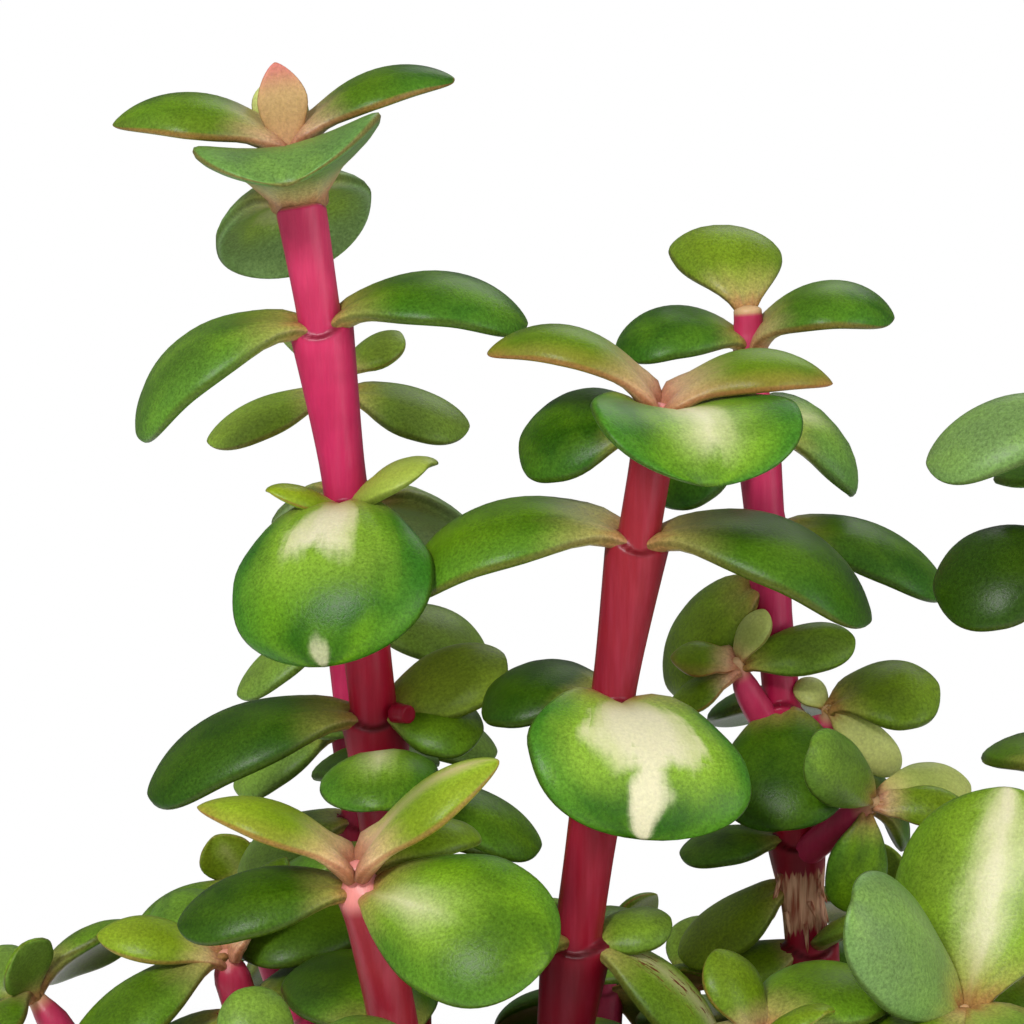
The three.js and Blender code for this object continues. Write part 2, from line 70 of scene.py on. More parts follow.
# What a solid's leaf measures, and how many points its fine skin has along it and round it.
LEAF = Sizes(
    thickness=2.8, full_width=15, even=0.62, swell=0.38, neck=0.24, widest=0.56, growth=1.05,
    roundness=2.8, cup=0.25, sunk=0.45, pointed=1.2, slim=0.6, along=26, around=28, crowding=1.7,
    small=9, small_along=16, small_around=18,
)
# What a fine leaf has beyond its solid's. Runs are shares of the leaf's length, channel is in
# millimetres, and the others are shares of what they change. young is half the blush at which a
# leaf is fully pointed.
BLADE = Sizes(
    square=0.8, clasp=0.5, clasp_run=0.2, root_run=0.13, stout_root=1.7, narrow_root=0.2,
    thick_root=0.45, channel=0.35, channel_width=0.22, wave=0.014, dimple=0.35, margin_wave=0.04,
    young=0.3,
)
# Where the solids' leaves have their corners: their rings, and the angles round each ring.
SOLID_LEAF = Sizes(
    stations=(0, 0.3, 0.62, 0.9), few_stations=(0, 0.4, 0.84), smallest=10.5,
    around=(0, 55, 125, 180, 270), near=0.05, least=3,
)

# A stem is a curve from its foot towards its knee to its tip, with its radius at both ends.
# A node is (how far along its stem it is, leaf, leaf, ...). A leaf is
# (turn, rise, bend, long, wide, roll, cup): turn is its compass direction in degrees, 0 at +X and
# -90 towards the viewer; rise is how far it starts out above square to its stem; bend is how far
# it arches down; roll turns its blade about its own length; cup is how far its margins hang.
# low lists nodes that are grown by rule: (how far along, turn, size).
POSED_SHOOTS = [
    dict(
        name="shoot_tall_left",
        foot=(-16, 2, STEM.foot), knee=(-18.1, 0, 122.2), tip=(-27.6, -1, 175.6), girth=(2.7, 1.95),
        nodes=[
            (0.42, (-20, -15, 40, 13, 10, 10), (150, 15, 70, 14, 13)),
            (0.48, (-88, 58, 105, 16, 10.5), (-5, -10, 40, 15, 9.5, 15), (95, 30, 70, 14, 12)),
            (0.535, (183, 22, 72, 22.3, 13, -14), (-12, 12, 50, 9.3, 9, 20),
             (18, 44, 40, 12.5, 9, 28)),
            (0.705, (-100, 12, 95, 21.5, 18.2), (76, 20, 112, 20, 20, 10),
             (-150, 40, 30, 8, 5, -15), (-30, 48, 50, 10, 7.5, 12)),
            (0.85, (178, 25, 96, 21, 14, -14), (3, 37, 90, 19.5, 13.5, 9)),
            (0.953, (-90, 62, 102, 14.5, 16.6, -1, -0.28), (101, 36, 130, 18, 15, -6)),
            (1, (180, 60, 82, 16.2, 10.2, -14), (5, 52, 78, 16.2, 9.4, 10),
             (-84, 85, 10, 7.8, 4.5), (100, 78, 10, 6.5, 5)),
        ],
        low=[(0.37, 20, 1), (0.26, 110, 0.9)],
    ),
    dict(
        name="shoot_middle",
        foot=(-7.4, -6, STEM.foot), knee=(-2.4, -9, 109.5), tip=(5, -10, 153.3), girth=(2.7, 1.9),
        nodes=[
            (0.47, (-12, -2, 65, 17, 10, 8), (188, 10, 60, 15, 12), (15, 45, 40, 8, 6, 20)),
            (0.705, (-74, 12, 92, 16.8, 20, 0, 0.02), (150, 18, 50, 12, 12, -20)),
            (0.864, (182, 24, 94, 23, 14.5, -14), (-5, 38, 94, 23, 14.5, 10)),
            (0.98, (-74, 29, 80, 14.8, 18.4, 6, -0.25), (166, 0, 45, 13, 11.5, -40)),
            (1, (175, 60, 104, 17.2, 8.2, -12), (6, 66, 94, 16, 8, 14)),
        ],
        low=[(0.34, 80, 1), (0.23, 170, 0.9)],
    ),
    dict(
        name="shoot_right",
        foot=(25.2, 8, STEM.foot), knee=(18.1, 12, 111.3), tip=(14.1, 14, 160.2), girth=(2.6, 1.45),
        nodes=[
            (0.393, (190, 10, 40, 8, 7, -20), (-40, 45, 40, 9, 7)),
            (0.455, (185, -22, 20, 13, 8, -30)),
            (0.495, (178, 25, 50, 10.5, 8, -12), (80, 20, 60, 14, 12)),
            (0.619, (-98, -15, 50, 15, 12), (95, 20, 60, 14, 12)),
            (0.74, (195, -32, 50, 15, 11, -40)),
            (0.786, (0, 6, 62, 18.5, 11, 20)),
            (0.884, (30, 22, 100, 13, 14, 40), (200, 20, 90, 13, 13, -30)),
            (0.965, (185, 52, 96, 13.6, 10.2, -20), (-5, 66, 118, 15.5, 11.6, 14)),
            (1, (105, 80, 84, 13.4, 10.5)),
        ],
        low=[(0.28, 30, 0.95)],
        branches=[
            dict(
                foot=(17.6, 11.5, 120), knee=(14.5, 10, 123), tip=(13, 9, 127.8), girth=(1.6, 1.1),
                nodes=[
                    (0.93, (188, 2, 34, 7.5, 5, -10), (0, 20, 50, 11, 6, 28)),
                    (1, (165, 50, 60, 6, 4.6, -20), (30, 70, 50, 5.4, 4, 10)),
                ],
            ),
            dict(
                foot=(18, 11.5, 120.5), knee=(22.3, 9.5, 121), tip=(21.6, 9, 123.3),
                girth=(1.5, 1.2),
                nodes=[
                    (1, (5, 24, 62, 10.6, 11, 12), (-80, -60, 40, 9, 4, 30), (120, 60, 40, 4, 3.2)),
                ],
            ),
            dict(
                foot=(19.3, 11, 109), knee=(21.5, 8.5, 111.5), tip=(25.5, 4.5, 115.6),
                girth=(1.5, 1.2),
                nodes=[
                    (0.9, (60, -5, 60, 12, 10), (-60, -30, 40, 10, 6, 20)),
                    (1, (172, 40, 25, 12.3, 6.5, -30), (0, 48, 24, 8.5, 4.2, 10),
                     (30, 40, 40, 10, 6)),
                ],
            ),
        ],
    ),
    dict(
        name="shoot_front",
        foot=(-13.5, -16, STEM.foot), knee=(-15.8, -24, 97.4), tip=(-20.9, -27, 116.5),
        girth=(2.6, 2),
        nodes=[
            (0.94, (-46, 14, 60, 19.5, 14, 22), (182, 34, 58, 15.5, 9.5, -10)),
            (0.97, (40, 30, 70, 12, 9)),
            (1, (176, 70, 66, 14.2, 7.5, 2), (2, 48, 46, 14.8, 8.5, 6)),
        ],
        low=[(0.62, -75, 1), (0.38, 15, 0.95)],
    ),
    dict(
        name="shoot_edge",
        foot=(33, -2, STEM.foot), knee=(43, -6, 108), tip=(42.3, -18.5, 153.6), girth=(2.7, 1.8),
        nodes=[
            (0.63, (-40, 20, 60, 13, 12), (90, 20, 60, 16, 14)),
            (0.848, (177, 22, 70, 14, 11.5, -28), (0, 20, 60, 15, 13)),
            (0.92, (-80, 25, 80, 15, 14), (100, 20, 60, 14, 13)),
            (1, (178, 5, 50, 15.5, 9.5, -15), (0, 50, 70, 15, 10), (60, 80, 20, 8, 5)),
        ],
        low=[(0.44, 15, 1), (0.3, 105, 0.95)],
    ),
    dict(
        name="shoot_edge_low",
        foot=(27, -14, STEM.foot), knee=(29, -20, 84), tip=(30.4, -24, 103.4), girth=(2.4, 1.8),
        nodes=[
            (1, (64, 70, 25, 19.5, 17.5, -8), (165, 70, 20, 17.5, 11, -35), (-50, 15, 70, 15, 13),
             (-140, 10, 60, 14, 11)),
        ],
        low=[(0.7, 150, 1), (0.45, 60, 0.95)],
    ),
    dict(
        name="shoot_left_low",
        foot=(-24, -6, STEM.foot), knee=(-29, -6, 90), tip=(-33.5, -8, 104.2), girth=(2.4, 1.7),
        nodes=[
            (0.82, (200, 10, 60, 17, 9, -10), (20, 30, 60, 12, 10)),
            (1, (178, 57, 52, 11.2, 6.6, -12), (-150, 12, 50, 18, 9, -10), (30, 60, 50, 10, 7),
             (120, 50, 50, 10, 7)),
        ],
        low=[(0.6, 110, 1), (0.4, 20, 0.95)],
    ),
    dict(
        name="shoot_back_left",
        foot=(-14.9, 16, STEM.foot), knee=(-24.2, 22, 102.2), tip=(-24.5, 22, 153.5),
        girth=(2.4, 1.3),
        nodes=[
            (0.56, (180, 10, 60, 13, 11, -15), (0, 15, 60, 14, 10, 10)),
            (0.655, (182, 5, 60, 13, 11, -15), (-2, 15, 60, 14, 10, 15), (-80, 15, 60, 12, 11)),
            (0.755, (188, -10, 40, 12, 8, -10), (-4, 22, 75, 14, 10, 20)),
            (0.86, (-85, 10, 60, 12, 11), (95, 20, 60, 13, 12)),
            (0.98, (190, -2, 35, 13, 8, -15), (-4, 2, 35, 12.5, 9.5, 20)),
            (1, (25, 50, 30, 7, 6.5, 10), (205, 60, 30, 7, 6)),
        ],
        low=[(0.45, 80, 1), (0.3, 170, 0.95)],
    ),
]

# Low shoots that fill the pot, grown by rule:
# (name, compass direction, distance of its foot and of its tip from the middle, tip height).
LOW_SHOOTS = [
    ("shoot_low_front", -67, 26, 33, 103),
    ("shoot_low_front_left", -128, 31, 42, 101),
    ("shoot_low_right", 12, 38, 52, 100),
    ("shoot_low_back_right", 48, 31, 44, 99),
    ("shoot_low_back", 88, 27, 42, 93),
    ("shoot_low_back_left", 133, 37, 51, 100),
    ("shoot_low_left", 178, 37, 52, 98),
    ("shoot_low_inner", 62, 17, 20, 95),
]
LOW_SHOOT = Sizes(
    girth=(2.3, 1.5), stiffness=0.55, lean=2, nodes=(0.48, 0.66, 0.84, 1), smaller=0.07,
)

# What a leaf that is grown by rule measures, how much that varies, and the young leaves at a tip.
GROWN_LEAF = Sizes(rise=18, bend=68, long=15, slenderness=0.82)
GROWN_TIP = ((90, 66, 40, 0.52), (-90, 62, 40, 0.48))
VARY = Sizes(turn=16, rise=10, bend=14, size=0.14, roll=14)

# How a leaf may have been posed anew to clear the other shoots: (turn, rise, size).
NUDGES = (
    (0, 0, 1), (9, 0, 1), (-9, 0, 1), (0, 12, 1), (0, -10, 1), (16, 8, 0.95), (-16, 8, 0.95),
    (0, 22, 0.9), (26, 0, 0.88), (-26, 0, 0.88), (0, -18, 0.85), (14, 28, 0.8), (-14, 28, 0.8),
    (36, 12, 0.75), (-36, 12, 0.75), (0, 40, 0.7), (0, 10, 0.62),
)

# The look of single leaves by shoot, then by place along their stem and turn. Values run from 0
# to 1: youth (yellow-green flesh), blush (tan and pink root and margin), olive (darker and
# duller, or paler and greyer below 0), cream (half the width of the pale patch), run (how far
# along it reaches), shift (how far to one side it lies, below 0 to the other), tip (half the
# width of a stripe from there to the tip; below 0 it is at the tip alone), scar (brown flecks
# down the middle).
LOOKS = {
    "shoot_tall_left": {
        (0.48, -88): dict(youth=0.1, cream=0.16, run=0.7),
        (0.535, 183): dict(olive=0.8),
        (0.535, -12): dict(youth=0.2, olive=0.2),
        # this leaf is paler and yellower than its own colour: painted light, as it lies in shade
        (0.535, 18): dict(youth=0.7, olive=-0.3),
        (0.705, -100): dict(cream=0.28, run=0.55, shift=0.02, tip=-0.13),
        # a pale waxy leaf, made paler still as painted light where it lies in shade
        (0.705, 76): dict(olive=-0.9),
        (0.705, -150): dict(youth=0.85, blush=0.5),
        (0.705, -30): dict(youth=0.9, blush=0.15),
        (0.85, 178): dict(blush=0.25, olive=-0.1, youth=0.08),
        (0.85, 3): dict(blush=0.25, olive=0.3),
        (0.953, -90): dict(blush=0.42, olive=-0.4),
        (0.953, 101): dict(cream=0.38, run=0.55, olive=-0.6),
        (1, 180): dict(youth=0.15, olive=0.2, blush=0.74),
        (1, 5): dict(olive=0.35, blush=0.7),
        (1, -84): dict(youth=0.5, blush=1),
        (1, 100): dict(youth=1, blush=0.4),
    },
    "shoot_middle": {
        (0.47, -12): dict(youth=0.35, blush=0.3, cream=0.14, run=1, scar=1),
        (0.705, -74): dict(cream=0.42, run=0.63, shift=-0.02, tip=0.14),
        (0.705, 150): dict(olive=0.9),
        (0.864, 182): dict(youth=0.1, blush=0.34),
        (0.864, -5): dict(olive=0.6, blush=0.3),
        (0.98, -74): dict(cream=0.17, run=0.8, shift=-0.08),
        (0.98, 166): dict(olive=0.5),
        (1, 175): dict(youth=0.25, olive=0.35, blush=0.84),
        (1, 6): dict(youth=0.3, olive=0.35, blush=0.88),
    },
    "shoot_right": {
        (0.455, 185): dict(olive=0.25, youth=0.55),
        (0.74, 195): dict(youth=0.45),
        (0.786, 0): dict(olive=0.4),
        (0.884, 30): dict(olive=-0.3, cream=0.08, run=0.4),
        (0.884, 200): dict(olive=0.3),
        (0.965, 185): dict(olive=0.4, blush=0.15),
        (0.965, -5): dict(olive=0.3, blush=0.42),
        (1, 105): dict(youth=0.45, olive=0.4, blush=0.3),
        (0.93, 188): dict(youth=0.45, blush=0.7),
        (0.93, 0): dict(youth=0.3, olive=-0.1),
        (1, 165): dict(youth=0.5, blush=0.85),
        (1, 30): dict(youth=0.95, blush=0.4),
        (1, 5): dict(youth=0.45, blush=0.2),
        (1, -80): dict(youth=1),
        (1, 120): dict(youth=1),
        (0.9, -60): dict(olive=0.1, youth=0.15),
        (1, 172): dict(youth=0.2, olive=-0.2),
        (1, 0): dict(youth=0.5, olive=0.2, blush=0.5),
    },
    "shoot_front": {
        (0.94, -46): dict(youth=0.15, cream=0.14, run=0.5, shift=0.15),
        (0.94, 182): dict(olive=0.85, blush=0.2),
        (0.97, 40): dict(youth=0.55),
        (1, 176): dict(youth=0.75, blush=0.8),
        (1, 2): dict(youth=0.8, blush=0.72, cream=0.14, run=0.95),
    },
    "shoot_edge": {
        (1, 178): dict(olive=-0.6),
        (0.848, 177): dict(olive=1),
    },
    "shoot_edge_low": {
        (1, 64): dict(youth=0.3, cream=0.2, run=1.2, shift=0.08),
        (1, 165): dict(olive=-0.55),
    },
    "shoot_left_low": {
        (1, 178): dict(youth=0.7, blush=0.5),
        (1, 30): dict(youth=0.2, olive=0.6, blush=0.6),
        (0.82, 200): dict(youth=0.2),
    },
}
PALE_SHOOTS = ("shoot_back_left",)  # their leaves are paler all over
PALE = Sizes(youth=0.2, olive=-0.3)
# Looks by chance: (the least, and what chance adds) for leaves under `small`, for those past
# `last` along their stem, and for all others.
BY_CHANCE = Sizes(
    small=9.5, last=0.97, olive=(-0.45, 1.2), cream=(-1.05, 1.4), run=(0.4, 0.5), shift=0.4,
    youth=dict(small=(0.2, 0.35), last=(0.1, 0.2), other=(0, 0.15)),
    blush=dict(small=(0.2, 0.3), last=(0.2, 0.2), other=(0, 0.1)),
)

# ---------------------------------------------------------------- chance, the same on every run


class Chance:
    """A fixed row of numbers from 0 to 1, by Park and Miller's generator."""

    def __init__(self, seed):
        self.state = seed

    def next(self):
        self.state = self.state * 16807 % 2147483647
        return self.state / 2147483647

    def spread(self, reach):
        """A number from -reach to reach."""
        return (2 * self.next() - 1) * reach


SEEDS = Sizes(growth=20011, looks=31, crumbs=5, grit=12, bark=8)
growth_chance = Chance(SEEDS.growth)
look_chance = np.random.default_rng(SEEDS.looks)

# ---------------------------------------------------------------- curves and skins


def smooth(value):
    """0 below 0, 1 above 1, and 3v^2 - 2v^3 between."""
    value = np.clip(value, 0, 1)
    return value * value * (3 - 2 * value)


def unit(vectors):
    """Each vector over its own length."""
    return vectors / np.linalg.norm(vectors, axis=-1, keepdims=True)


def axis_point(stem, at):
    """A stem's axis: (1-t)^2 foot + 2t(1-t) knee + t^2 tip."""
    foot, knee, tip = (np.array(stem[k], float) for k in ("foot", "knee", "tip"))
    at = np.asarray(at, float)[..., None]
    return (1 - at) ** 2 * foot + 2 * at * (1 - at) * knee + at**2 * tip


def axis_way(stem, at):
    """The unit direction of a stem's axis: its formula's slope, (1-t)(knee-foot) + t(tip-knee)."""
    foot, knee, tip = (np.array(stem[k], float) for k in ("foot", "knee", "tip"))
    at = np.asarray(at, float)[..., None]
    return unit((1 - at) * (knee - foot) + at * (tip - knee))


def axis_length(stem):
    """The length of a stem's axis, as 200 short chords."""
    points = axis_point(stem, np.linspace(0, 1, 201))
    return np.linalg.norm(np.diff(points, axis=0), axis=1).sum()


def girth_at(stem, at):
    """A stem's radius before it swells, in even steps from its foot's to its tip's."""
    low, high = stem["girth"]
    return low + (high - low) * np.asarray(at)


def outward(way, turn):
    """The compass direction, less its part along the stem's way, as a unit vector."""
    angle = math.radians(turn)
    compass = np.array([math.cos(angle), math.sin(angle), 0])
    return unit(compass - way * (way @ compass)[..., None])


def rolled(vector, about, degrees):
    """A vector square to `about`, turned round it: v cos + (about x v) sin."""
    angle = math.radians(degrees)
    return vector * math.cos(angle) + np.cross(about, vector) * math.sin(angle)


def skin(rings, first=None, last=None, **values):
    """A closed skin over rings of points, with a pole before the first ring and after the last.

    A pole is the middle of its ring where none is given. Values hold a vector for each point of
    the rings, and a pole takes the mean of its ring.
    """
    count, around = rings.shape[:2]
    near = np.arange(count * around).reshape(count, around)
    far = np.roll(near, -1, axis=1)
    quads = np.stack([near[:-1], far[:-1], far[1:], near[1:]], axis=-1).reshape(-1, 4)
    first = rings[0].mean(0) if first is None else first
    last = rings[-1].mean(0) if last is None else last
    start, end = (np.full(around, count * around + k) for k in (0, 1))
    tris = np.concatenate([
        np.stack([start, far[0], near[0]], axis=-1),
        np.stack([end, near[-1], far[-1]], axis=-1),
    ])
    return Sizes(
        points=np.concatenate([rings.reshape(-1, 3), [first, last]]),
        faces=quads.tolist() + tris.tolist(),
        values={
            name: np.concatenate([v.reshape(-1, 3), [v[0].mean(0), v[-1].mean(0)]])
            for name, v in values.items()
        },
    )


def even(three, rings):
    """The same three values at every point of the rings."""
    return np.broadcast_to(np.array(three, float), rings.shape)


def joined(skins):
    """Several skins as one: points one after the other, faces renumbered."""
    starts = np.cumsum([0] + [len(s.points) for s in skins])
    faces = [[c + int(start) for c in face] for s, start in zip(skins, starts) for face in s.faces]
    values = {name: np.concatenate([s.values[name] for s in skins]) for name in skins[0].values}
    return Sizes(points=np.concatenate([s.points for s in skins]), faces=faces, values=values)


def piece(name, surface, material, stands_for):
    """A smooth-shaded mesh object in metres that rides on the root and stands for a solid."""
    mesh = bpy.data.meshes.new(name)
    mesh.from_pydata((surface.points * MM).tolist(), [], surface.faces)
    for label, vectors in surface.values.items():
        attribute = mesh.attributes.new(label, "FLOAT_VECTOR", "POINT")
        attribute.data.foreach_set("vector", vectors.astype(np.float32).ravel())
    mesh.polygons.foreach_set("use_smooth", np.ones(len(mesh.polygons), bool))
    mesh.materials.append(material)
    made = bpy.data.objects.new(name, mesh)
    bpy.context.scene.collection.objects.link(made)
    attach(made, "root")
    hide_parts(stands_for)
    return made


def waves(points, count, lengths, seed):
    """Rough ground as a sum of plane waves of chance directions, weighted by their length."""
    rng = np.random.default_rng(seed)
    length = rng.uniform(*lengths, count)
    way = unit(rng.normal(size=(count, points.shape[-1]))) * (2 * math.pi / length)[:, None]
    phase = rng.uniform(0, 2 * math.pi, count)
    return (np.sin(points @ way.T + phase) * length).sum(-1) / (length.sum() ** 0.5)


# ---------------------------------------------------------------- stems

WOODY = Sizes(below=78, fade=9)  # below this height, over its fade, a stem turns woody
# The dark line at a node, and on nodes more than `old` from the tip a painted shade below it,
# where the leaves above shade the stem.
NODE_LINE = Sizes(width=0.3, shade=0.6, below=1.6, spread=2.6, old=42, fade=10)
# The pale end of a stem: how long it is, how wide it starts and ends, in stem widths, and over
# what length it turns pale.
TENDER = {
    "shoot_tall_left": (5.4, 0.66, 0.5, 0.5), "shoot_front": (4.2, 1, 0.46, 2.6),
    "shoot_middle": (3.4, 1, 0.5, 2.2), "shoot_right": (0.3, 1, 0.86, 0.4),
}
TENDER_ELSEWHERE = (1, 1, 0.5, 1.8)
BRICK = {"shoot_middle": 1, "shoot_front": 1, "shoot_left_low": 0.6}  # stems red rather than pink
# The values of a spur are what stem_skin puts in stalk and aged.
BARK_PATCH = Sizes(
    shoot="shoot_right", at=(19.2, 11.2, 104.8), reach=3, torn=0.08, worn=0.14, shreds=22,
    away=2.15, lift=(-0.8, 1), out=(0.15, 0.6), aside=(-0.5, 0.5), long=(1.2, 3.4), thick=0.26,
    profile=((0, 1), (0.45, 0.8), (0.85, 0.4)), stalk=(50, 0, 0), aged=(1, 0, 0),
)
# The profile of a small outgrowth of a stem: (distance along it, radius), closed at its end.
AXIL_BUD = Sizes(profile=((0, 0.2), (0.3, 0.19), (0.6, 0.1)), end=0.85, above=0.45, lean=0.8)
PRUNED_STUB = Sizes(
    shoot="shoot_tall_left", at=(-18.3, -1.95, 125), turn=-48, rise=0.05, end=1.5,
    profile=((0, 1.02), (0.7, 0.9), (1.4, 0.86), (1.65, 0.84), (1.75, 0.76), (1.75, 0.54)),
    stalk=(50, 0.35, 0), aged=(0, 0, 0.3),
)
SPUR_SIDES = 12


def ring_places(places, length):
    """Where a stem has rings: ring_gap apart, and fine_gap apart close to each node."""
    fine = np.arange(-STEM.fine_reach, STEM.fine_reach, STEM.fine_gap)
    near = (places[:, None] + fine / length).ravel()
    coarse = np.arange(0, 1, STEM.ring_gap / length)
    coarse = coarse[np.abs(coarse[:, None] - places).min(1) * length > STEM.fine_reach]
    at = np.unique(np.clip(np.concatenate([[0], coarse, near, [1]]), 0, 1).round(5))
    return at[np.append(np.diff(at) > STEM.least_gap / length, True)]


def stem_skin(stem, nodes, seed, name, main):
    """A stem as rings round its axis.

    Its radius runs evenly from the foot's to the tip's, times plump + shoulder * swell - waist.
    Below a node with a pair of leaves the swell is (1 + past / run)^flare, above it it falls over
    `ledge`; it is greatest on the two sides that carry leaves, all_round + (1 - all_round) *
    cos^2(angle - turn), and the ledge sags between those sides. Other nodes, and those close to
    the tip, only swell softly, as exp(-(past / soft_run)^2). The waist is just above a node. The
    radius shrinks over the last bit of a stem, and steps in where its pale, tender end starts.
    Ribs run along the stem, each a sine of the angle. In the patch of torn bark the radius is
    worn down, and torn by a product of two sines of the angle, times exp(-(height from the
    patch's middle / reach)^2). A quarter ellipse closes the tip.

    Its points hold stalk (distance below the tip, dark of the node lines and of the painted shade
    below old nodes, pale of the tender end) and aged (torn bark, woody skin, brick red rather than
    pink).
    """
    length = axis_length(stem)
    places = np.array([at for at, *_ in nodes])
    turns = np.radians([leaves[0][0] for _, *leaves in nodes])
    paired = np.array([len(leaves) > 1 for _, *leaves in nodes])
    firm = (paired * smooth(((1 - places) * length - STEM.quiet) / 2 + 0.5))[:, None]
    at = ring_places(places, length)
    below_tip = ((1 - at) * length)[:, None]
    angle = np.linspace(0, 2 * math.pi, STEM.around, endpoint=False)

    # the swell and the waist; past is the distance beyond each node
    facing = np.cos(angle - turns[:, None]) ** 2
    past = ((at[:, None] - places) * length)[..., None] + STEM.sag * (0.5 - facing)
    shoulder = (1 + past / STEM.run).clip(0) ** STEM.flare
    sleeve = np.where(past <= 0, shoulder, smooth(1 - past / STEM.ledge))
    rise = firm * sleeve + (1 - firm) * STEM.soft_swell * np.exp(-((past / STEM.soft_run) ** 2))
    swell = (rise * (STEM.all_round + (1 - STEM.all_round) * facing)).max(1)
    waist = (firm * smooth(past / STEM.ledge) * np.exp(-((past / STEM.waist_run) ** 2))).max(1)
    ribs = sum(high * np.sin(count * angle + phase * seed) for high, count, phase in STEM.ribs)

    # the tender end and the torn bark
    tender_long, tender_wide, tip_wide, fade = (TENDER if main else {}).get(name, TENDER_ELSEWHERE)
    closing = smooth(1 - below_tip / max(STEM.taper, tender_long))
    ended = 1 - (1 - tip_wide / tender_wide) * closing
    step = smooth((tender_long - below_tip) / STEM.tender_step + 0.5)
    ended = ended * (1 - (1 - tender_wide) * step)
    height = axis_point(stem, at)[:, 2:]
    bark = np.exp(-(((height - BARK_PATCH.at[2]) / BARK_PATCH.reach) ** 2))
    bark = (name == BARK_PATCH.shoot) * bark
    torn = BARK_PATCH.torn * np.sin(7 * angle + 2) * np.sin(11 * angle) - BARK_PATCH.worn
    shape = STEM.plump + STEM.shoulder * swell - STEM.waist * waist + ribs + torn * bark

    # the rings, with those that close the tip
    radius = girth_at(stem, at)[:, None] * shape * ended
    centre, way = axis_point(stem, at), axis_way(stem, at)
    crown = np.linspace(0, 1, STEM.crown_rings + 2)[1:-1] * math.pi / 2
    centre = np.concatenate([centre, centre[-1] + np.outer(np.sin(crown) * STEM.crown, way[-1])])
    way = np.concatenate([way, np.tile(way[-1], (len(crown), 1))])
    radius = np.concatenate([radius, radius[-1] * np.cos(crown)[:, None]])
    side = outward(way, 0)
    front = np.cross(way, side)
    rings = (
        centre[:, None]
        + side[:, None] * (radius * np.cos(angle))[..., None]
        + front[:, None] * (radius * np.sin(angle))[..., None]
    )

    # what the points hold
    bare = np.zeros((len(crown), 1))
    below_tip = np.concatenate([below_tip, bare])
    old = smooth(((1 - places) * length - NODE_LINE.old) / NODE_LINE.fade)[:, None]
    line = np.exp(-(((past - STEM.ledge / 2) / NODE_LINE.width) ** 2))
    # painted shade: a darker band just below each old node, where its leaves shade the stem
    shade = np.exp(-(((past + NODE_LINE.below) / NODE_LINE.spread) ** 2))
    line = (firm * (line + NODE_LINE.shade * old * shade)).max(1)
    line = np.concatenate([line, bare * np.ones(STEM.around)])
    tender = smooth(0.5 + (tender_long - below_tip) / fade)
    stalk = np.stack(np.broadcast_arrays(below_tip, line, tender), axis=-1)
    bark = np.concatenate([bark, bare]) * np.ones(STEM.around)
    woody = smooth((WOODY.below - rings[..., 2]) / WOODY.fade)
    aged = np.stack([bark, woody, np.full(bark.shape, BRICK.get(name, 0))], axis=-1)
    pole = centre[-1] + way[-1] * STEM.crown * STEM.crown_end
    return skin(rings, last=pole, stalk=stalk, aged=aged)


def spur_skin(foot, way, profile, end, stalk, aged):
    """A small outgrowth: circles of its profile's radii round a straight axis, closed at `end`."""
    along, radius = np.array(profile).T[..., None, None]
    angle = np.linspace(0, 2 * math.pi, SPUR_SIDES, endpoint=False)
    side = unit(np.cross(way, (0.3, 0.5, 0.1)))  # any direction square to its way will do
    front = np.cross(way, side)
    around = side * np.cos(angle)[:, None] + front * np.sin(angle)[:, None]
    rings = foot + way * along + around[None] * radius
    poles = dict(first=foot, last=foot + way * end)
    return skin(rings, **poles, stalk=even(stalk, rings), aged=even(aged, rings))


def axil_buds(stem, nodes, brick):
    """A small dark bud in the corner above each leaf of a pair, close against the stem."""
    length = axis_length(stem)
    buds = []
    for at, *leaves in nodes:
        below_tip = (1 - at) * length
        if len(leaves) < 2 or below_tip < STEM.quiet:
            continue
        way = axis_way(stem, at)
        for leaf in leaves[:2]:
            out = outward(way, leaf[0])
            foot = axis_point(stem, at) + out * girth_at(stem, at) + way * AXIL_BUD.above
            lean = unit(out * AXIL_BUD.lean + way)
            stalk, aged = (below_tip, 1, 0), (0, 0, brick)
            buds.append(spur_skin(foot, lean, AXIL_BUD.profile, AXIL_BUD.end, stalk, aged))
    return buds


def pruned_stub():
    """What is left of a shoot that was cut away: a short neck with a flat, sunken end."""
    stub = PRUNED_STUB
    turn = math.radians(stub.turn)
    way = unit(np.array([math.cos(turn), math.sin(turn), stub.rise]))
    return spur_skin(np.array(stub.at, float), way, stub.profile, stub.end, stub.stalk, stub.aged)


def bark_shreds():
    """Shreds that have come loose from the bark: thin spurs round the patch, placed by chance."""
    patch = BARK_PATCH
    rng = np.random.default_rng(SEEDS.bark)
    shreds = []
    for angle in rng.uniform(0, 2 * math.pi, patch.shreds):
        out = np.array([math.cos(angle), math.sin(angle), 0])
        aside = np.array([-out[1], out[0], 0])
        lift = rng.uniform(*patch.lift) * patch.reach
        foot = np.array(patch.at) + patch.away * out + (0, 0, lift)
        way = unit(rng.uniform(*patch.out) * out + rng.uniform(*patch.aside) * aside - (0, 0, 1))
        long = rng.uniform(*patch.long)
        profile = np.array(patch.profile) * (long, patch.thick)
        shreds.append(spur_skin(foot, way, profile, long, patch.stalk, patch.aged))
    return shreds


# ---------------------------------------------------------------- leaves


def leaf_frame(stem, at, leaf):
    """A leaf's root and its own axes: out along it, up off its face, and across to one side."""
    way = axis_way(stem, at)
    out = outward(way, leaf.turn)
    root = axis_point(stem, at) + out * LEAF.sunk * girth_at(stem, at)
    return root, out, rolled(way, out, leaf.roll), rolled(np.cross(way, out), out, leaf.roll)


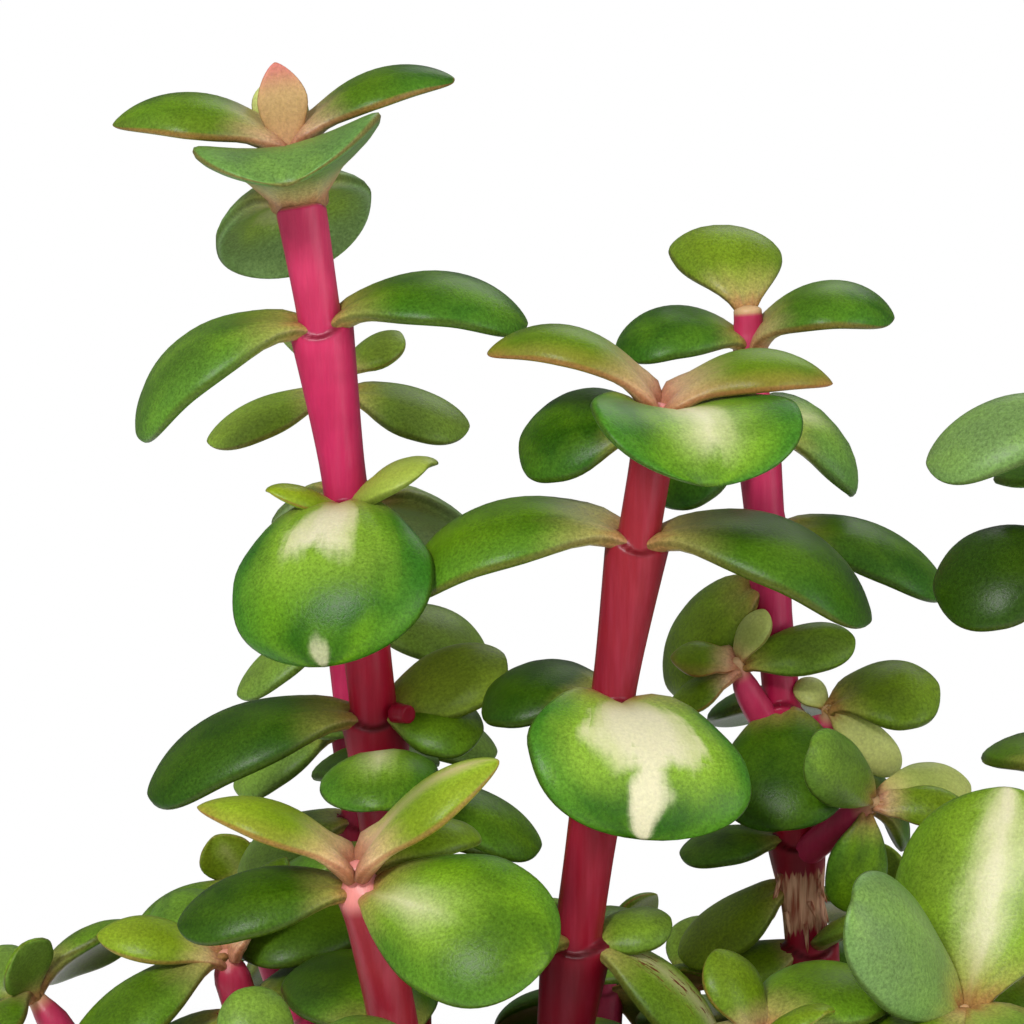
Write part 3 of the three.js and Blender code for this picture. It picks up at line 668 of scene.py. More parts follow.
def leaf_points(stem, at, leaf, along, around, detail=None):
    """Points of a leaf on a grid of `along`, from 0 at its root to 1 at its tip, and `around`.

    Its midline starts out at `rise` and turns down evenly by `bend`. Half the width grows with
    sin^growth from the neck to the widest place and closes as sqrt(1 - past^roundness); half the
    thickness is even + swell * sin of the way along, closed as sqrt(1 - past^3). A cross-section
    is an ellipse whose margins hang by cup * cos^2. Detail squares the ellipse off, so that the
    margins are round and full, lifts the margins where the leaf clasps its stem, sinks a channel
    along the root of the upper face, narrows that root, and waves the blade and its margins by
    sines of the way along. Young leaves are pointed: their roundness is less, they close with the
    power 0.7 rather than 0.5, and their root is stout.
    """
    root, out, up, side = leaf_frame(stem, at, leaf)
    along = np.asarray(along, float)[:, None]
    around = np.asarray(around, float)[None]
    start, arch = math.radians(leaf.rise), math.radians(leaf.bend)
    slope = start - arch * along
    forward = leaf.long * (math.sin(start) - np.sin(slope)) / arch
    height = leaf.long * (np.cos(slope) - math.cos(start)) / arch
    grown = np.sin(math.pi / 2 * np.clip(along / LEAF.widest, 0, 1)) ** LEAF.growth
    past = np.maximum(0, (along - LEAF.widest) / (1 - LEAF.widest))
    wide = leaf.wide / 2 * (LEAF.neck + (1 - LEAF.neck) * grown)
    point = detail.point if detail else 0
    wide = wide * (1 - past ** (LEAF.roundness - LEAF.pointed * point)) ** (0.5 + 0.2 * point)
    thick = LEAF.thickness / 2 * min(1, leaf.wide / LEAF.full_width) ** LEAF.slim
    thick = thick * (LEAF.even + LEAF.swell * np.sin(math.pi * along)) * np.sqrt(1 - past**3)
    across, deep = np.cos(around), np.sin(around)
    hang = leaf.cup
    if detail:
        rooted = np.exp(-((along / BLADE.root_run) ** 2))
        wide = wide * (1 + (BLADE.stout_root * point - BLADE.narrow_root) * rooted)
        thick = thick * (1 + BLADE.thick_root * point * rooted)
        across = np.sign(across) * np.abs(across) ** BLADE.square
        deep = np.sign(deep) * np.abs(deep) ** BLADE.square
        hang = leaf.cup - BLADE.clasp * np.exp(-((along / BLADE.clasp_run) ** 2))
        turn = 2 * math.pi * detail.seed
        wide = wide * (1 + BLADE.margin_wave * np.sin(5 * along + turn) * across)
    lift = thick * deep - hang * wide * across**2
    if detail:
        high = BLADE.wave * leaf.wide
        groove = np.exp(-((across / BLADE.channel_width) ** 2)) * (1 - along) ** 1.5
        wave = high * np.sin(4.5 * along + turn) * across * smooth(2 * along)
        dimple = high * np.sin(7 * along + 2 * turn) * np.cos(3 * across + turn) * BLADE.dimple
        lift = lift - BLADE.channel * groove * (deep > 0) * deep + wave + dimple * (1 - along)
    return (
        root
        + out * (forward - np.sin(slope) * lift)[..., None]
        + up * (height + np.cos(slope) * lift)[..., None]
        + side * (wide * across)[..., None]
    )


def as_leaf(turn, rise, bend, long, wide, roll=0, cup=LEAF.cup):
    """A leaf's row with its values by name."""
    return Sizes(turn=turn, rise=rise, bend=bend, long=long, wide=wide, roll=roll, cup=cup)


def settled(stem, at, leaf, corners):
    """The leaf as it stands in its solid, or None where the solid hasn't got it.

    Of all the ways in which it may have been nudged, the one whose corners meet most of the
    solid's corners is right.
    """
    best, most = None, SOLID_LEAF.least - 1
    for turn, rise, size in NUDGES:
        posed = Sizes(**vars(leaf))
        posed.turn += turn
        posed.rise += rise
        posed.long *= size
        posed.wide *= size
        few = posed.long < SOLID_LEAF.smallest
        stations = SOLID_LEAF.few_stations if few else SOLID_LEAF.stations
        around = np.radians(SOLID_LEAF.around)
        points = leaf_points(stem, at, posed, stations, around).reshape(-1, 3)
        tip = leaf_points(stem, at, posed, [1], around)[0, :1]
        points = np.concatenate([points, tip])
        apart = np.linalg.norm(points[:, None] - corners[None], axis=-1).min(1)
        met = (apart < SOLID_LEAF.near).sum()
        if met > most:
            best, most = posed, met
    return best


def leaf_skin(stem, at, leaf, look):
    """A fine closed skin over one leaf, with where each point lies on it and how it looks.

    Its rings crowd towards the tip: they are at 1 - (1 - even steps)^crowding, after one ring
    deep inside the stem. A leaf turns pointed as its blush grows from `young` to twice that.
    """
    small = leaf.long < LEAF.small
    steps = np.linspace(0, 1, LEAF.small_along if small else LEAF.along)
    inside = -LEAF.sunk * girth_at(stem, at) / leaf.long
    along = np.append(inside, (1 - (1 - steps) ** LEAF.crowding)[:-1])
    sides = LEAF.small_around if small else LEAF.around
    around = np.linspace(0, 2 * math.pi, sides, endpoint=False)
    point = float(smooth((look.blush - BLADE.young) / BLADE.young))
    detail = Sizes(seed=look.seed, point=point)
    rings = leaf_points(stem, at, leaf, along, around, detail)
    tip = leaf_points(stem, at, leaf, [1], around, detail)[0, sides // 4]
    place = along.clip(0)[:, None]
    return skin(
        rings, last=tip,
        blade=np.stack(np.broadcast_arrays(place, np.cos(around), np.sin(around)), axis=-1),
        growth=even((look.seed, look.youth, look.blush), rings),
        patch=even((look.cream, look.run, look.shift), rings),
        marks=even((look.olive, look.tip, look.scar), rings),
    )


def look_of(name, at, turn, leaf, posed):
    """A leaf's look: by chance and by its size and place, unless LOOKS says otherwise."""
    seed, pick, dull = look_chance.random(3)
    kind = "small" if leaf.long < BY_CHANCE.small else "last" if at > BY_CHANCE.last else "other"
    drawn = lambda row, chance: row[0] + row[1] * chance
    look = Sizes(
        seed=seed, youth=drawn(BY_CHANCE.youth[kind], pick),
        blush=drawn(BY_CHANCE.blush[kind], dull), olive=drawn(BY_CHANCE.olive, dull), scar=0,
        tip=0, cream=0 if posed else max(0, drawn(BY_CHANCE.cream, pick)),
        run=drawn(BY_CHANCE.run, dull), shift=BY_CHANCE.shift * (seed - 0.5),
    )
    if name in PALE_SHOOTS:
        look.youth, look.olive = look.youth + PALE.youth, PALE.olive
    given = LOOKS.get(name, {}).get((at, turn))
    if given is not None:
        vars(look).update(dict(youth=0, blush=0, olive=0, shift=0) | given)
    return look


# ---------------------------------------------------------------- growth


def grown_pair(at, turn, size):
    """A pair of facing leaves at a node, varied by chance."""
    leaves = []
    for side in (0, 180):
        scale = size * (1 + growth_chance.spread(VARY.size))
        leaves.append((
            turn + side + growth_chance.spread(VARY.turn),
            GROWN_LEAF.rise + growth_chance.spread(VARY.rise),
            GROWN_LEAF.bend + growth_chance.spread(VARY.bend),
            GROWN_LEAF.long * scale,
            GROWN_LEAF.long * GROWN_LEAF.slenderness * scale,
            growth_chance.spread(VARY.roll),
        ))
    return (at, *leaves)


def low_shoot(name, direction, foot_away, tip_away, top):
    """A low shoot: it leans outwards, and each pair of leaves stands square to the one below."""
    angle = math.radians(direction)
    place = lambda away, height: (away * math.cos(angle), away * math.sin(angle), height)
    knee = STEM.foot + (top - STEM.foot) * LOW_SHOOT.stiffness
    first = 180 * growth_chance.next()
    grown = [
        grown_pair(at, first + 90 * i, 1 - LOW_SHOOT.smaller * i)
        for i, at in enumerate(LOW_SHOOT.nodes)
    ]
    last_turn = grown[-1][1][0]
    young = tuple(
        (last_turn + turn, rise, bend, GROWN_LEAF.long * size,
         GROWN_LEAF.long * GROWN_LEAF.slenderness * size)
        for turn, rise, bend, size in GROWN_TIP
    )
    grown[-1] += young
    return dict(
        name=name, foot=place(foot_away, STEM.foot), knee=place(foot_away + LOW_SHOOT.lean, knee),
        tip=place(tip_away, top), girth=LOW_SHOOT.girth, nodes=[], grown=grown,
    )


def all_shoots():
    """The posed shoots, with the nodes of each that are grown by rule, and then the low shoots."""
    posed = [dict(s, grown=[grown_pair(*low) for low in s["low"]]) for s in POSED_SHOOTS]
    return posed + [low_shoot(*row) for row in LOW_SHOOTS]


def build_shoot(shoot, materials):
    """A shoot as two pieces, its stems and its leaves, which stand for its solid."""
    name = shoot["name"]
    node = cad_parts[name]
    corners = np.empty(len(node.data.vertices) * 3)
    node.data.vertices.foreach_get("co", corners)
    corners = np.unique(corners.reshape(-1, 3).round(6), axis=0) / MM
    stems, blades = [], []
    for number, stem in enumerate([shoot, *shoot.get("branches", [])]):
        nodes = sorted(stem["nodes"] + stem.get("grown", []), key=lambda node: node[0])
        seed = 1.7 * len(name) + number * 0.37  # so that no two stems' ribs run alike
        stems.append(stem_skin(stem, nodes, seed, name, stem is shoot))
        stems += axil_buds(stem, nodes, BRICK.get(name, 0))
        for at, *leaves in nodes:
            for row in leaves:
                leaf = settled(stem, at, as_leaf(*row), corners)
                if leaf:
                    look = look_of(name, at, row[0], leaf, (at, *leaves) in stem["nodes"])
                    blades.append(leaf_skin(stem, at, leaf, look))
    if name == PRUNED_STUB.shoot:
        stems.append(pruned_stub())
    if name == BARK_PATCH.shoot:
        stems += bark_shreds()
    piece(name + "_stems", joined(stems), materials.stem, name)
    piece(name + "_leaves", joined(blades), materials.leaf, name)
    return len(blades)


# ---------------------------------------------------------------- soil and pot


def pot_radius(height):
    """The pot's outer radius, which grows evenly with height."""
    return POT.foot_radius + (POT.rim_radius - POT.foot_radius) * np.asarray(height) / POT.height


def eased(profile, reach, steps=5, most=0.45):
    """A profile whose inner corners are rounded: a curve from `reach` before to `reach` after.

    The curve is (1-t)^2 before + 2t(1-t) corner + t^2 after. On a short edge the reach is `most`
    of that edge.
    """
    profile = np.array(profile, float)
    t = np.linspace(0, 1, steps)[:, None]
    rows = [profile[:1]]
    for before, corner, after in zip(profile, profile[1:], profile[2:]):
        back, on = before - corner, after - corner
        start = corner + back * min(reach / np.linalg.norm(back), most)
        end = corner + on * min(reach / np.linalg.norm(on), most)
        rows.append((1 - t) ** 2 * start + 2 * t * (1 - t) * corner + t**2 * end)
    return np.concatenate([*rows, profile[-1:]])


def stepped(profile, step):
    """The same line with points no more than `step` apart."""
    away = np.append(0, np.cumsum(np.linalg.norm(np.diff(profile, axis=0), axis=1)))
    extra = np.arange(0, away[-1], step)
    every = np.unique(np.concatenate([away, extra]).round(4))
    return np.stack([np.interp(every, away, profile[:, k]) for k in (0, 1)], axis=-1)


def turned(profile, sides):
    """Rings of a body turned about Z from (radius, height) pairs, less those on the axis."""
    angle = np.linspace(0, 2 * math.pi, sides, endpoint=False)
    radius, height = profile[1:-1, :1], profile[1:-1, 1:]
    return np.stack(
        np.broadcast_arrays(radius * np.cos(angle), radius * np.sin(angle), height), axis=-1
    )


def build_pot(material):
    """The pot: its profile turned about Z, with soft corners, faint throwing rings and drains.

    The profile is (radius, height) from the middle of the foot out, up and over the rim, and down
    inside. The rings are a sine of the height, on the outer wall alone.
    """
    under_band = POT.height - POT.band_height
    band = POT.rim_radius + POT.band_proud
    ring = POT.foot_radius - POT.foot_ring
    outside = lambda height: float(pot_radius(height))
    inside = lambda height: outside(height) - POT.wall
    profile = eased([
        (0, POT.recess), (POT.middle, POT.recess), (ring, POT.recess), (ring - POT.foot_slope, 0),
        (POT.foot_radius - POT.easing, 0), (outside(POT.easing), POT.easing),
        (outside(under_band - POT.band_proud), under_band - POT.band_proud),
        (band - POT.easing / 2, under_band), (band, under_band + POT.easing),
        (band, POT.height - POT.easing), (band - POT.easing, POT.height),
        (inside(POT.height) + POT.easing, POT.height),
        (inside(POT.height), POT.height - POT.easing),
        (inside(POT.floor + POT.wall), POT.floor + POT.wall),
        (inside(POT.floor) - POT.wall, POT.floor), (0, POT.floor),
    ], POT.corner)
    profile = stepped(profile, POT.profile_step)
    radius, height = profile.T
    wall = smooth((radius - POT.foot_radius + 2) / 3) * smooth((height - 2) / 4)
    thrown = np.sin(2 * math.pi * height / POT.ripple_length + 1.3 * np.sin(height / 9))
    profile[:, 0] += POT.ripple * wall * thrown
    poles = dict(first=np.array([0, 0, profile[0, 1]]), last=np.array([0, 0, POT.floor]))
    pot = piece("clay_pot", skin(turned(profile, POT.sides), **poles), material, "pot")
    for i in range(POT.hole_count):
        angle = 2 * math.pi * i / POT.hole_count
        drill(pot, POT.hole_ring * math.cos(angle), POT.hole_ring * math.sin(angle))
    pot.data.polygons.foreach_set("use_smooth", np.ones(len(pot.data.polygons), bool))


def drill(pot, x, y):
    """Cuts a round drain hole through the pot's floor at x, y."""
    shape = bmesh.new()
    radius, depth = POT.hole_radius * MM, 4 * POT.floor * MM
    bmesh.ops.create_cone(
        shape, cap_ends=True, segments=POT.hole_sides, radius1=radius, radius2=radius, depth=depth
    )
    mesh = bpy.data.meshes.new("drill")
    shape.to_mesh(mesh)
    shape.free()
    cutter = bpy.data.objects.new("drill", mesh)
    cutter.location = (x * MM, y * MM, 0)
    bpy.context.scene.collection.objects.link(cutter)
    cut = pot.modifiers.new("drain", "BOOLEAN")
    cut.operation, cut.object, cut.solver = "DIFFERENCE", cutter, "EXACT"
    bpy.context.view_layer.update()
    graph = bpy.context.evaluated_depsgraph_get()
    pot.data = bpy.data.meshes.new_from_object(pot.evaluated_get(graph))
    pot.modifiers.clear()
    bpy.data.objects.remove(cutter)


def soil_height(x, y):
    """The slight heave of the soil: two long waves, as in its solid, and crumbs on them."""
    heave = np.sin(x / 7 + 1) * np.cos(y / 9) + 0.5 * np.sin((x - y) / 5)
    crumbs = waves(np.stack([x, y], axis=-1), 70, (1.3, 5), SEEDS.crumbs)
    return SOIL.top + SOIL.waviness * heave + SOIL.crumb * np.tanh(crumbs)


def build_soil(material):
    """The soil: a body turned about Z that fills the pot, with crumbs raised on its face.

    Towards the pot's wall the crumbs die out over edge_width, and the face drops by edge_drop.
    """
    reach = lambda height: float(pot_radius(height)) - POT.wall - SOIL.gap
    bottom = POT.floor + SOIL.gap
    top = reach(SOIL.top)
    side = [
        (0, bottom), (reach(bottom) - POT.wall - SOIL.gap, bottom),
        (reach(bottom + POT.wall), bottom + POT.wall), (top, SOIL.top - SOIL.edge),
    ]
    face = [(radius, SOIL.top) for radius in np.linspace(top, 0, SOIL.rings)]
    rings = turned(np.array(side + face, float), SOIL.sides)
    x, y, height = np.moveaxis(rings, -1, 0)
    fall = smooth((top - np.hypot(x, y)) / SOIL.edge_width)
    level = SOIL.top - SOIL.edge_drop * (1 - fall) + (soil_height(x, y) - SOIL.top) * fall
    rings[..., 2] = np.where(height > SOIL.top - 1, level, height)
    poles = dict(first=np.array([0, 0, bottom]), last=np.array([0, 0, rings[-1, :, 2].mean()]))
    piece("soil_body", skin(rings, **poles), material, "soil")


def build_grit(material):
    """Grains of pumice, bark and grit on the soil, placed by chance.

    Each is a ball whose radius varies by a sine of its direction, stretched and turned by chance.
    """
    rng = np.random.default_rng(SEEDS.grit)
    shape = bmesh.new()
    bmesh.ops.create_icosphere(shape, subdivisions=2, radius=1)
    ball = np.array([v.co for v in shape.verts])
    faces = np.array([[v.index for v in f.verts] for f in shape.faces])
    shape.free()
    count = SOIL.grains
    reach = float(pot_radius(SOIL.top)) - POT.wall - SOIL.grain_margin
    away = reach * np.sqrt(rng.random(count))
    angle = rng.uniform(0, 2 * math.pi, count)
    x, y = away * np.cos(angle), away * np.sin(angle)
    size = rng.uniform(*SOIL.grain_sizes, count) * rng.uniform(0.6, 1, count)
    stretch = rng.uniform(0.55, 1, (count, 3)) * size[:, None]
    rough = 1 + 0.16 * np.sin(ball @ rng.normal(size=(3, count)) * 3 + rng.random(count) * 6).T
    turns = np.linalg.qr(rng.normal(size=(count, 3, 3)))[0]
    turns[:, :, 0] *= np.sign(np.linalg.det(turns))[:, None]
    grains = np.einsum("nij,nkj->nki", turns, ball[None] * rough[..., None] * stretch[:, None])
    place = np.stack([x, y, soil_height(x, y) + SOIL.grain_lift * size], axis=-1)
    tone = np.stack([rng.random(count), rng.random(count), size], axis=-1)
    surface = Sizes(
        points=(grains + place[:, None]).reshape(-1, 3),
        faces=(faces[None] + len(ball) * np.arange(count)[:, None, None]).reshape(-1, 3).tolist(),
        values={"grain": np.repeat(tone, len(ball), axis=0)},
    )
    piece("soil_grit", surface, material, "soil")


# ---------------------------------------------------------------- shader wiring


def colour(red, green, blue):
    """A screen colour from 0 to 255 as the linear colour that shaders take."""
    return (*(((c / 255 + 0.055) / 1.055) ** 2.4 for c in (red, green, blue)), 1)


def tones(**screen):
    """Screen colours by name, as the linear colours that shaders take."""
    return Sizes(**{name: colour(*rgb) for name, rgb in screen.items()})


class Wiring:
    """Shorthand for wiring one node tree."""

    def __init__(self, tree):
        self.tree = tree

    def node(self, kind, **settings):
        made = self.tree.nodes.new("ShaderNode" + kind)
        for label, value in settings.items():
            setattr(made, label, value)
        return made

    def feed(self, socket, value):
        """Links an output to the socket, or sets the socket to a value."""
        if isinstance(value, bpy.types.NodeSocket):
            self.tree.links.new(value, socket)
        else:
            socket.default_value = value

    def sum(self, operation, *values):
        """One Math node's result."""
        made = self.node("Math", operation=operation)
        for socket, value in zip(made.inputs, values):
            self.feed(socket, value)
        return made.outputs[0]

    def plus(self, *values):
        total = values[0]
        for value in values[1:]:
            total = self.sum("ADD", total, value)
        return total

    def less(self, value, taken):
        return self.sum("SUBTRACT", value, taken)

    def times(self, *values):
        total = values[0]
        for value in values[1:]:
            total = self.sum("MULTIPLY", total, value)
        return total

    def step(self, value, low, high):
        """0 at low, 1 at high, smooth between."""
        made = self.node("MapRange", interpolation_type="SMOOTHSTEP")
        for socket, given in zip(made.inputs, (value, low, high, 0, 1)):
            self.feed(socket, given)
        return made.outputs[0]

    def mix(self, share, first, second):
        """The first colour at share 0, the second at share 1."""
        made = self.node("Mix", data_type="RGBA")
        for index, given in ((0, share), (6, first), (7, second)):
            self.feed(made.inputs[index], given)
        return made.outputs[2]

    def attribute(self, name):
        """The three parts of a vector that each point of the mesh holds."""
        made = self.node("Attribute", attribute_name=name)
        parts = self.node("SeparateXYZ")
        self.feed(parts.inputs[0], made.outputs["Vector"])
        return tuple(parts.outputs)

    def vector(self, x, y, z):
        made = self.node("CombineXYZ")
        for socket, value in zip(made.inputs, (x, y, z)):
            self.feed(socket, value)
        return made.outputs[0]

    def place(self, stretch=(1, 1, 1)):
        """Object coordinates in millimetres, each times its stretch."""
        made = self.node("Mapping")
        self.feed(made.inputs["Vector"], self.node("TexCoord").outputs["Object"])
        self.feed(made.inputs["Scale"], tuple(s / MM for s in stretch))
        return made.outputs[0]

    def noise(self, vector, scale, detail=3.0, rough=0.55):
        made = self.node("TexNoise")
        for label, value in (("Vector", vector), ("Scale", scale), ("Detail", detail),
                             ("Roughness", rough)):
            self.feed(made.inputs[label], value)
        return made.outputs[0]

    def use(self, effect, **given):
        """A shader group with these values; its outputs by name."""
        made = self.node("Group", node_tree=effect)
        for label, value in given.items():
            self.feed(made.inputs[label], value)
        return made.outputs

    def bump(self, height, distance, strength):
        """A normal bent by a height; distance is in millimetres."""
        made = self.node("Bump")
        self.feed(made.inputs["Height"], height)
        self.feed(made.inputs["Distance"], distance * MM)
        self.feed(made.inputs["Strength"], strength)
        return made.outputs[0]


def new_effect(name, given, made):
    """An empty shader group with named sockets, as {name: kind}, and its wiring."""
    tree = bpy.data.node_groups.new(name, "ShaderNodeTree")
    for side, sockets in (("INPUT", given), ("OUTPUT", made)):
        for label, kind in sockets.items():
            tree.interface.new_socket(label, in_out=side, socket_type="NodeSocket" + kind)
    wiring = Wiring(tree)
    wiring.given = tree.nodes.new("NodeGroupInput").outputs
    wiring.made = tree.nodes.new("NodeGroupOutput").inputs
    return tree, wiring


def new_material(name):
    """A material, the wiring of its nodes, and its shader's inputs."""
    material = bpy.data.materials.new(name)
    material.use_nodes = True
    return material, Wiring(material.node_tree), material.node_tree.nodes["Principled BSDF"].inputs


def make_grain():
    """Fine grain: a colour made lighter and darker by small specks, and their height."""
    tree, w = new_effect(
        "fine_grain",
        {"Vector": "Vector", "Scale": "Float", "Contrast": "Float", "Color": "Color"},
        {"Color": "Color", "Height": "Float"},
    )
    specks = w.noise(w.given["Vector"], w.given["Scale"], 4.0, 0.65)
    value = w.sum("MULTIPLY_ADD", w.less(specks, 0.5), w.given["Contrast"], 1)
    made = w.node("HueSaturation")
    w.feed(made.inputs["Value"], value)
    w.feed(made.inputs["Color"], w.given["Color"])
    w.feed(w.made["Color"], made.outputs[0])
    w.feed(w.made["Height"], specks)
    return tree


def make_mottle():
    """Soft clouds of one colour in another: the mask of a slow noise, and the mixed colour."""
    tree, w = new_effect(
        "soft_mottle",
        {"Vector": "Vector", "Scale": "Float", "Amount": "Float", "First": "Color",
         "Second": "Color"},
        {"Color": "Color", "Mask": "Float"},
    )
    clouds = w.step(w.noise(w.given["Vector"], w.given["Scale"], 2.0, 0.5), 0.32, 0.68)
    mask = w.times(clouds, w.given["Amount"])
    w.feed(w.made["Color"], w.mix(mask, w.given["First"], w.given["Second"]))
    w.feed(w.made["Mask"], mask)
    return tree


def make_spots():
    """Scattered spots: the mask of a noise above a limit."""
    tree, w = new_effect(
        "scattered_spots",
        {"Vector": "Vector", "Scale": "Float", "Limit": "Float"},
        {"Mask": "Float"},
    )
    spots = w.noise(w.given["Vector"], w.given["Scale"], 3.0, 0.6)
    w.feed(w.made["Mask"], w.step(spots, w.given["Limit"], w.plus(w.given["Limit"], 0.06)))
    return tree


# ---------------------------------------------------------------- finishes


def clouded(w, effects, vector, scale, amount, first, second):
    """Soft clouds of the second colour in the first."""
    values = dict(Vector=vector, Scale=scale, Amount=amount, First=first, Second=second)
    return w.use(effects.mottle, **values)["Color"]


def grained(w, shader, effects, vector, scale, contrast, body, rough, bump):
    """Fine grain over a colour.

    It feeds the base colour, the roughness, as height * rough[0] + rough[1], and the normal, by
    bump's distance and strength.
    """
    grain = w.use(effects.grain, Vector=vector, Scale=scale, Contrast=contrast, Color=body)
    w.feed(shader["Base Color"], grain["Color"])
    w.feed(shader["Roughness"], w.sum("MULTIPLY_ADD", grain["Height"], *rough))
    w.feed(shader["Normal"], w.bump(grain["Height"], *bump))


def fleshy(shader, radius, scale, specular):
    """A little light goes into the flesh and comes out close by; scale is in millimetres."""
    shader["Subsurface Weight"].default_value = 0.12
    shader["Subsurface Radius"].default_value = radius
    shader["Subsurface Scale"].default_value = scale * MM
    shader["Specular IOR Level"].default_value = specular


LEAF_TONES = tones(
    deep_green=(42, 88, 4), green=(88, 132, 14), by_margin=(56, 116, 36), olive=(38, 60, 2),
    below=(84, 126, 66), olive_below=(50, 70, 12), grey=(128, 152, 92), young=(148, 164, 34),
    youngest=(204, 208, 132), halo=(142, 174, 56), cream=(208, 202, 166),
    cream_edge=(186, 190, 132), young_cream=(184, 166, 108), beyond_root=(88, 116, 0),
    tan_root=(160, 154, 74), pink_root=(208, 160, 130), red_root=(158, 78, 60),
    flush=(160, 110, 58), bud=(198, 158, 112), bud_tip=(198, 112, 108), margin=(56, 68, 12),
    red_margin=(144, 84, 52), fleck=(112, 52, 30),
)


def leaf_sockets(w):
    """What each point of a leaf holds, by name, and what the finish works out from it.

    Flow and lanes are places on the leaf for its noises, apart for each leaf by its seed. Wander
    bends what crosses the blade, jag frays an edge in steps and streaks, and offset is how far to
    the side of the patch's middle a point lies.
    """
    on = Sizes()
    on.along, on.across, on.upper = w.attribute("blade")
    on.seed, on.youth, on.blush = w.attribute("growth")
    on.cream, on.run, on.shift = w.attribute("patch")
    on.olive, on.tip, on.scar = w.attribute("marks")
    on.aside = w.sum("ABSOLUTE", on.across)
    own = w.times(on.seed, 53)
    on.flow = w.vector(w.times(on.along, 2.2), on.across, own)
    on.lanes = w.vector(w.times(on.along, 2.0), w.times(on.across, 3.0), own)
    on.under = w.step(on.upper, 0.1, -0.4)
    on.wander = w.less(w.noise(on.flow, 1.1, 2.0), 0.5)
    cells = w.vector(
        w.sum("SNAP", w.plus(on.along, w.times(on.wander, 0.2)), 0.075),
        w.sum("SNAP", w.plus(on.across, w.times(on.wander, 0.3)), 0.14), own,
    )
    on.jag = w.plus(
        w.times(w.less(w.noise(cells, 2.9, 1.0), 0.5), 0.42),
        w.times(w.less(w.noise(on.lanes, 1.3, 3.0), 0.5), 0.6),
    )
    on.offset = w.sum("ABSOLUTE", w.plus(on.across, on.shift, w.times(on.wander, 0.3)))
    return on


def leaf_flesh(w, effects, on):
    """Clouds of two greens, darker to the margins, greyer or more olive below, yellow if young."""
    tone = LEAF_TONES
    flesh = clouded(w, effects, on.flow, 1.4, 0.95, tone.deep_green, tone.green)
    flesh = w.mix(w.times(w.step(on.aside, 0.35, 1), 0.5), flesh, tone.by_margin)
    flesh = w.mix(w.times(on.olive, 0.85), flesh, tone.olive)
    below = w.mix(w.step(on.olive, 0.1, 0.6), tone.below, tone.olive_below)
    flesh = w.mix(w.times(on.under, 0.75), flesh, below)
    flesh = w.mix(w.times(on.olive, -0.9), flesh, tone.grey)
    flesh = w.mix(w.times(on.youth, 0.85), flesh, tone.young)
    return w.mix(w.times(w.step(on.youth, 0.85, 1), 0.7), flesh, tone.youngest)


def cream_patch(w, on, flesh):
    """The flesh with its cream patch and a yellow halo round it; and the patch's mask.

    The patch is a belly of half width `cream` as far as `run`, wider beyond its root, and a
    stripe of half width `tip`. The smaller the patch, the softer its edges.
    """
    tone = LEAF_TONES
    half = w.times(on.cream, w.sum("MULTIPLY_ADD", w.step(on.along, 0.02, 0.34), 0.5, 0.5))
    frayed = w.times(on.jag, w.step(on.cream, 0, 0.3), 0.75)
    inside = w.plus(w.less(half, on.offset), frayed)
    soft = w.step(on.cream, 0.3, 0.14)
    reach = w.sum("MULTIPLY_ADD", soft, 0.1, 0.05)
    beyond = w.less(w.plus(on.along, w.times(on.jag, 0.5)), on.run)
    ended = w.step(beyond, reach, w.times(reach, -1))
    shown = w.step(on.cream, 0.01, 0.08)
    low, high = (w.sum("MULTIPLY_ADD", soft, *given) for given in ((-0.18, -0.06), (0.14, 0.09)))
    belly = w.times(w.step(inside, low, high), ended, shown)

    half_stripe = w.sum("ABSOLUTE", on.tip)
    at_tip = w.sum("LESS_THAN", on.tip, 0)
    start = w.plus(w.times(w.less(1, at_tip), w.less(on.run, 0.12)), w.times(at_tip, 0.84))
    started = w.step(w.less(w.plus(on.along, w.times(on.jag, 0.2)), start), 0, 0.1)
    striped = w.step(half_stripe, 0.01, 0.05)
    from_middle = w.sum("ABSOLUTE", w.plus(on.across, w.times(on.wander, 0.4)))
    within = w.less(w.times(half_stripe, started), from_middle)
    stripe = w.step(w.plus(within, w.times(on.jag, 0.3)), -0.05, 0.08)
    stripe = w.times(stripe, started, striped, w.less(1, w.times(at_tip, 0.4)))
    patch = w.times(w.sum("MAXIMUM", belly, stripe), w.sum("MULTIPLY_ADD", on.under, -0.6, 1))

    halo = w.times(w.step(inside, -0.55, 0.02), w.step(w.less(on.along, on.run), 0.25, 0), shown)
    halo = w.times(halo, w.sum("MULTIPLY_ADD", on.cream, 0.9, 0.3))
    flesh = w.mix(halo, flesh, tone.halo)
    pale = w.mix(w.step(inside, 0.32, 0), tone.cream, tone.cream_edge)
    return w.mix(patch, flesh, w.mix(on.blush, pale, tone.young_cream)), patch


